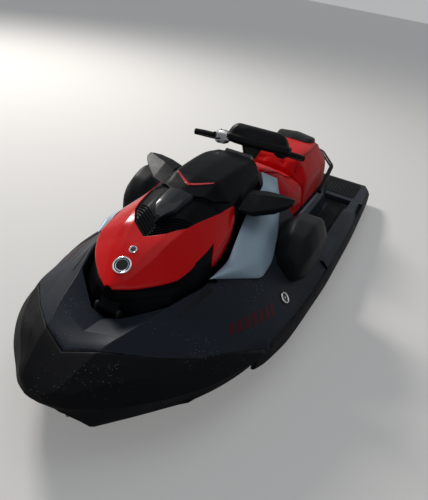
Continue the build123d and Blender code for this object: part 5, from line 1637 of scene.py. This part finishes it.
def make_camera():
    """The camera at the photograph's viewpoint."""
    yaw, pitch, roll = CAMERA_TURN
    ahead = Vector((math.cos(pitch) * math.cos(yaw), math.cos(pitch) * math.sin(yaw), -math.sin(pitch)))
    right = Vector((math.sin(yaw), -math.cos(yaw), 0.0))
    up = right.cross(ahead)
    lens = bpy.data.cameras.new("camera")
    lens.sensor_width = SENSOR_MM
    lens.lens = CAMERA_FOCAL_PX / FRAME_HEIGHT_PX * SENSOR_MM
    lens.clip_end = 200
    camera = linked("camera", lens)
    across = right * math.cos(roll) + up * math.sin(roll)
    upright = up * math.cos(roll) - right * math.sin(roll)
    turn = Matrix((across, upright, -ahead)).transposed()
    camera.matrix_world = Matrix.Translation(CAMERA_PLACE) @ turn.to_4x4()
    bpy.context.scene.camera = camera


class Stage(bpy.types.Operator):
    """Make the floor at the waterline, the studio light and the camera"""
    bl_idname = "watercraft.stage"
    bl_label = "Stage"

    def execute(self, context):
        context.scene.view_settings.view_transform = "Standard"
        make_floor()
        make_world()
        make_lamps()
        make_camera()
        return {"FINISHED"}


PIECES = (CadFinish, DeckPieces, BumperAndRail, Hood, Seats, Steering, SidePieces, SoftenedNodes, Stage)


class WatercraftPanel(bpy.types.Panel):
    """Sizes, colours and pieces of the watercraft"""
    bl_idname = "VIEW3D_PT_watercraft"
    bl_label = "Personal watercraft"
    bl_space_type = "VIEW_3D"
    bl_region_type = "UI"
    bl_category = "Watercraft"

    def draw(self, context):
        column = self.layout.column()
        for group in (context.scene.watercraft_sizes, context.scene.watercraft_colours):
            for name in type(group).__annotations__:
                column.prop(group, name)
        for piece in PIECES:
            column.operator(piece.bl_idname)


CLASSES = (WatercraftColours, WatercraftSizes, *PIECES, WatercraftPanel)


def register():
    """Add the operators, the panel and the scene's properties."""
    for cls in CLASSES:
        bpy.utils.register_class(cls)
    bpy.types.Scene.watercraft_colours = bpy.props.PointerProperty(type=WatercraftColours)
    bpy.types.Scene.watercraft_sizes = bpy.props.PointerProperty(type=WatercraftSizes)


def unregister():
    """Take out what register adds."""
    del bpy.types.Scene.watercraft_colours
    del bpy.types.Scene.watercraft_sizes
    for cls in reversed(CLASSES):
        bpy.utils.unregister_class(cls)


def main():
    """Dress the whole craft."""
    register()
    bpy.ops.watercraft.cad_finish()
    bpy.ops.watercraft.deck()
    bpy.ops.watercraft.bumper_and_rail()
    bpy.ops.watercraft.hood()
    bpy.ops.watercraft.seats()
    bpy.ops.watercraft.steering()
    bpy.ops.watercraft.side_pieces()
    bpy.ops.watercraft.softened()
    bpy.ops.watercraft.stage()


if __name__ == "__main__":
    main()
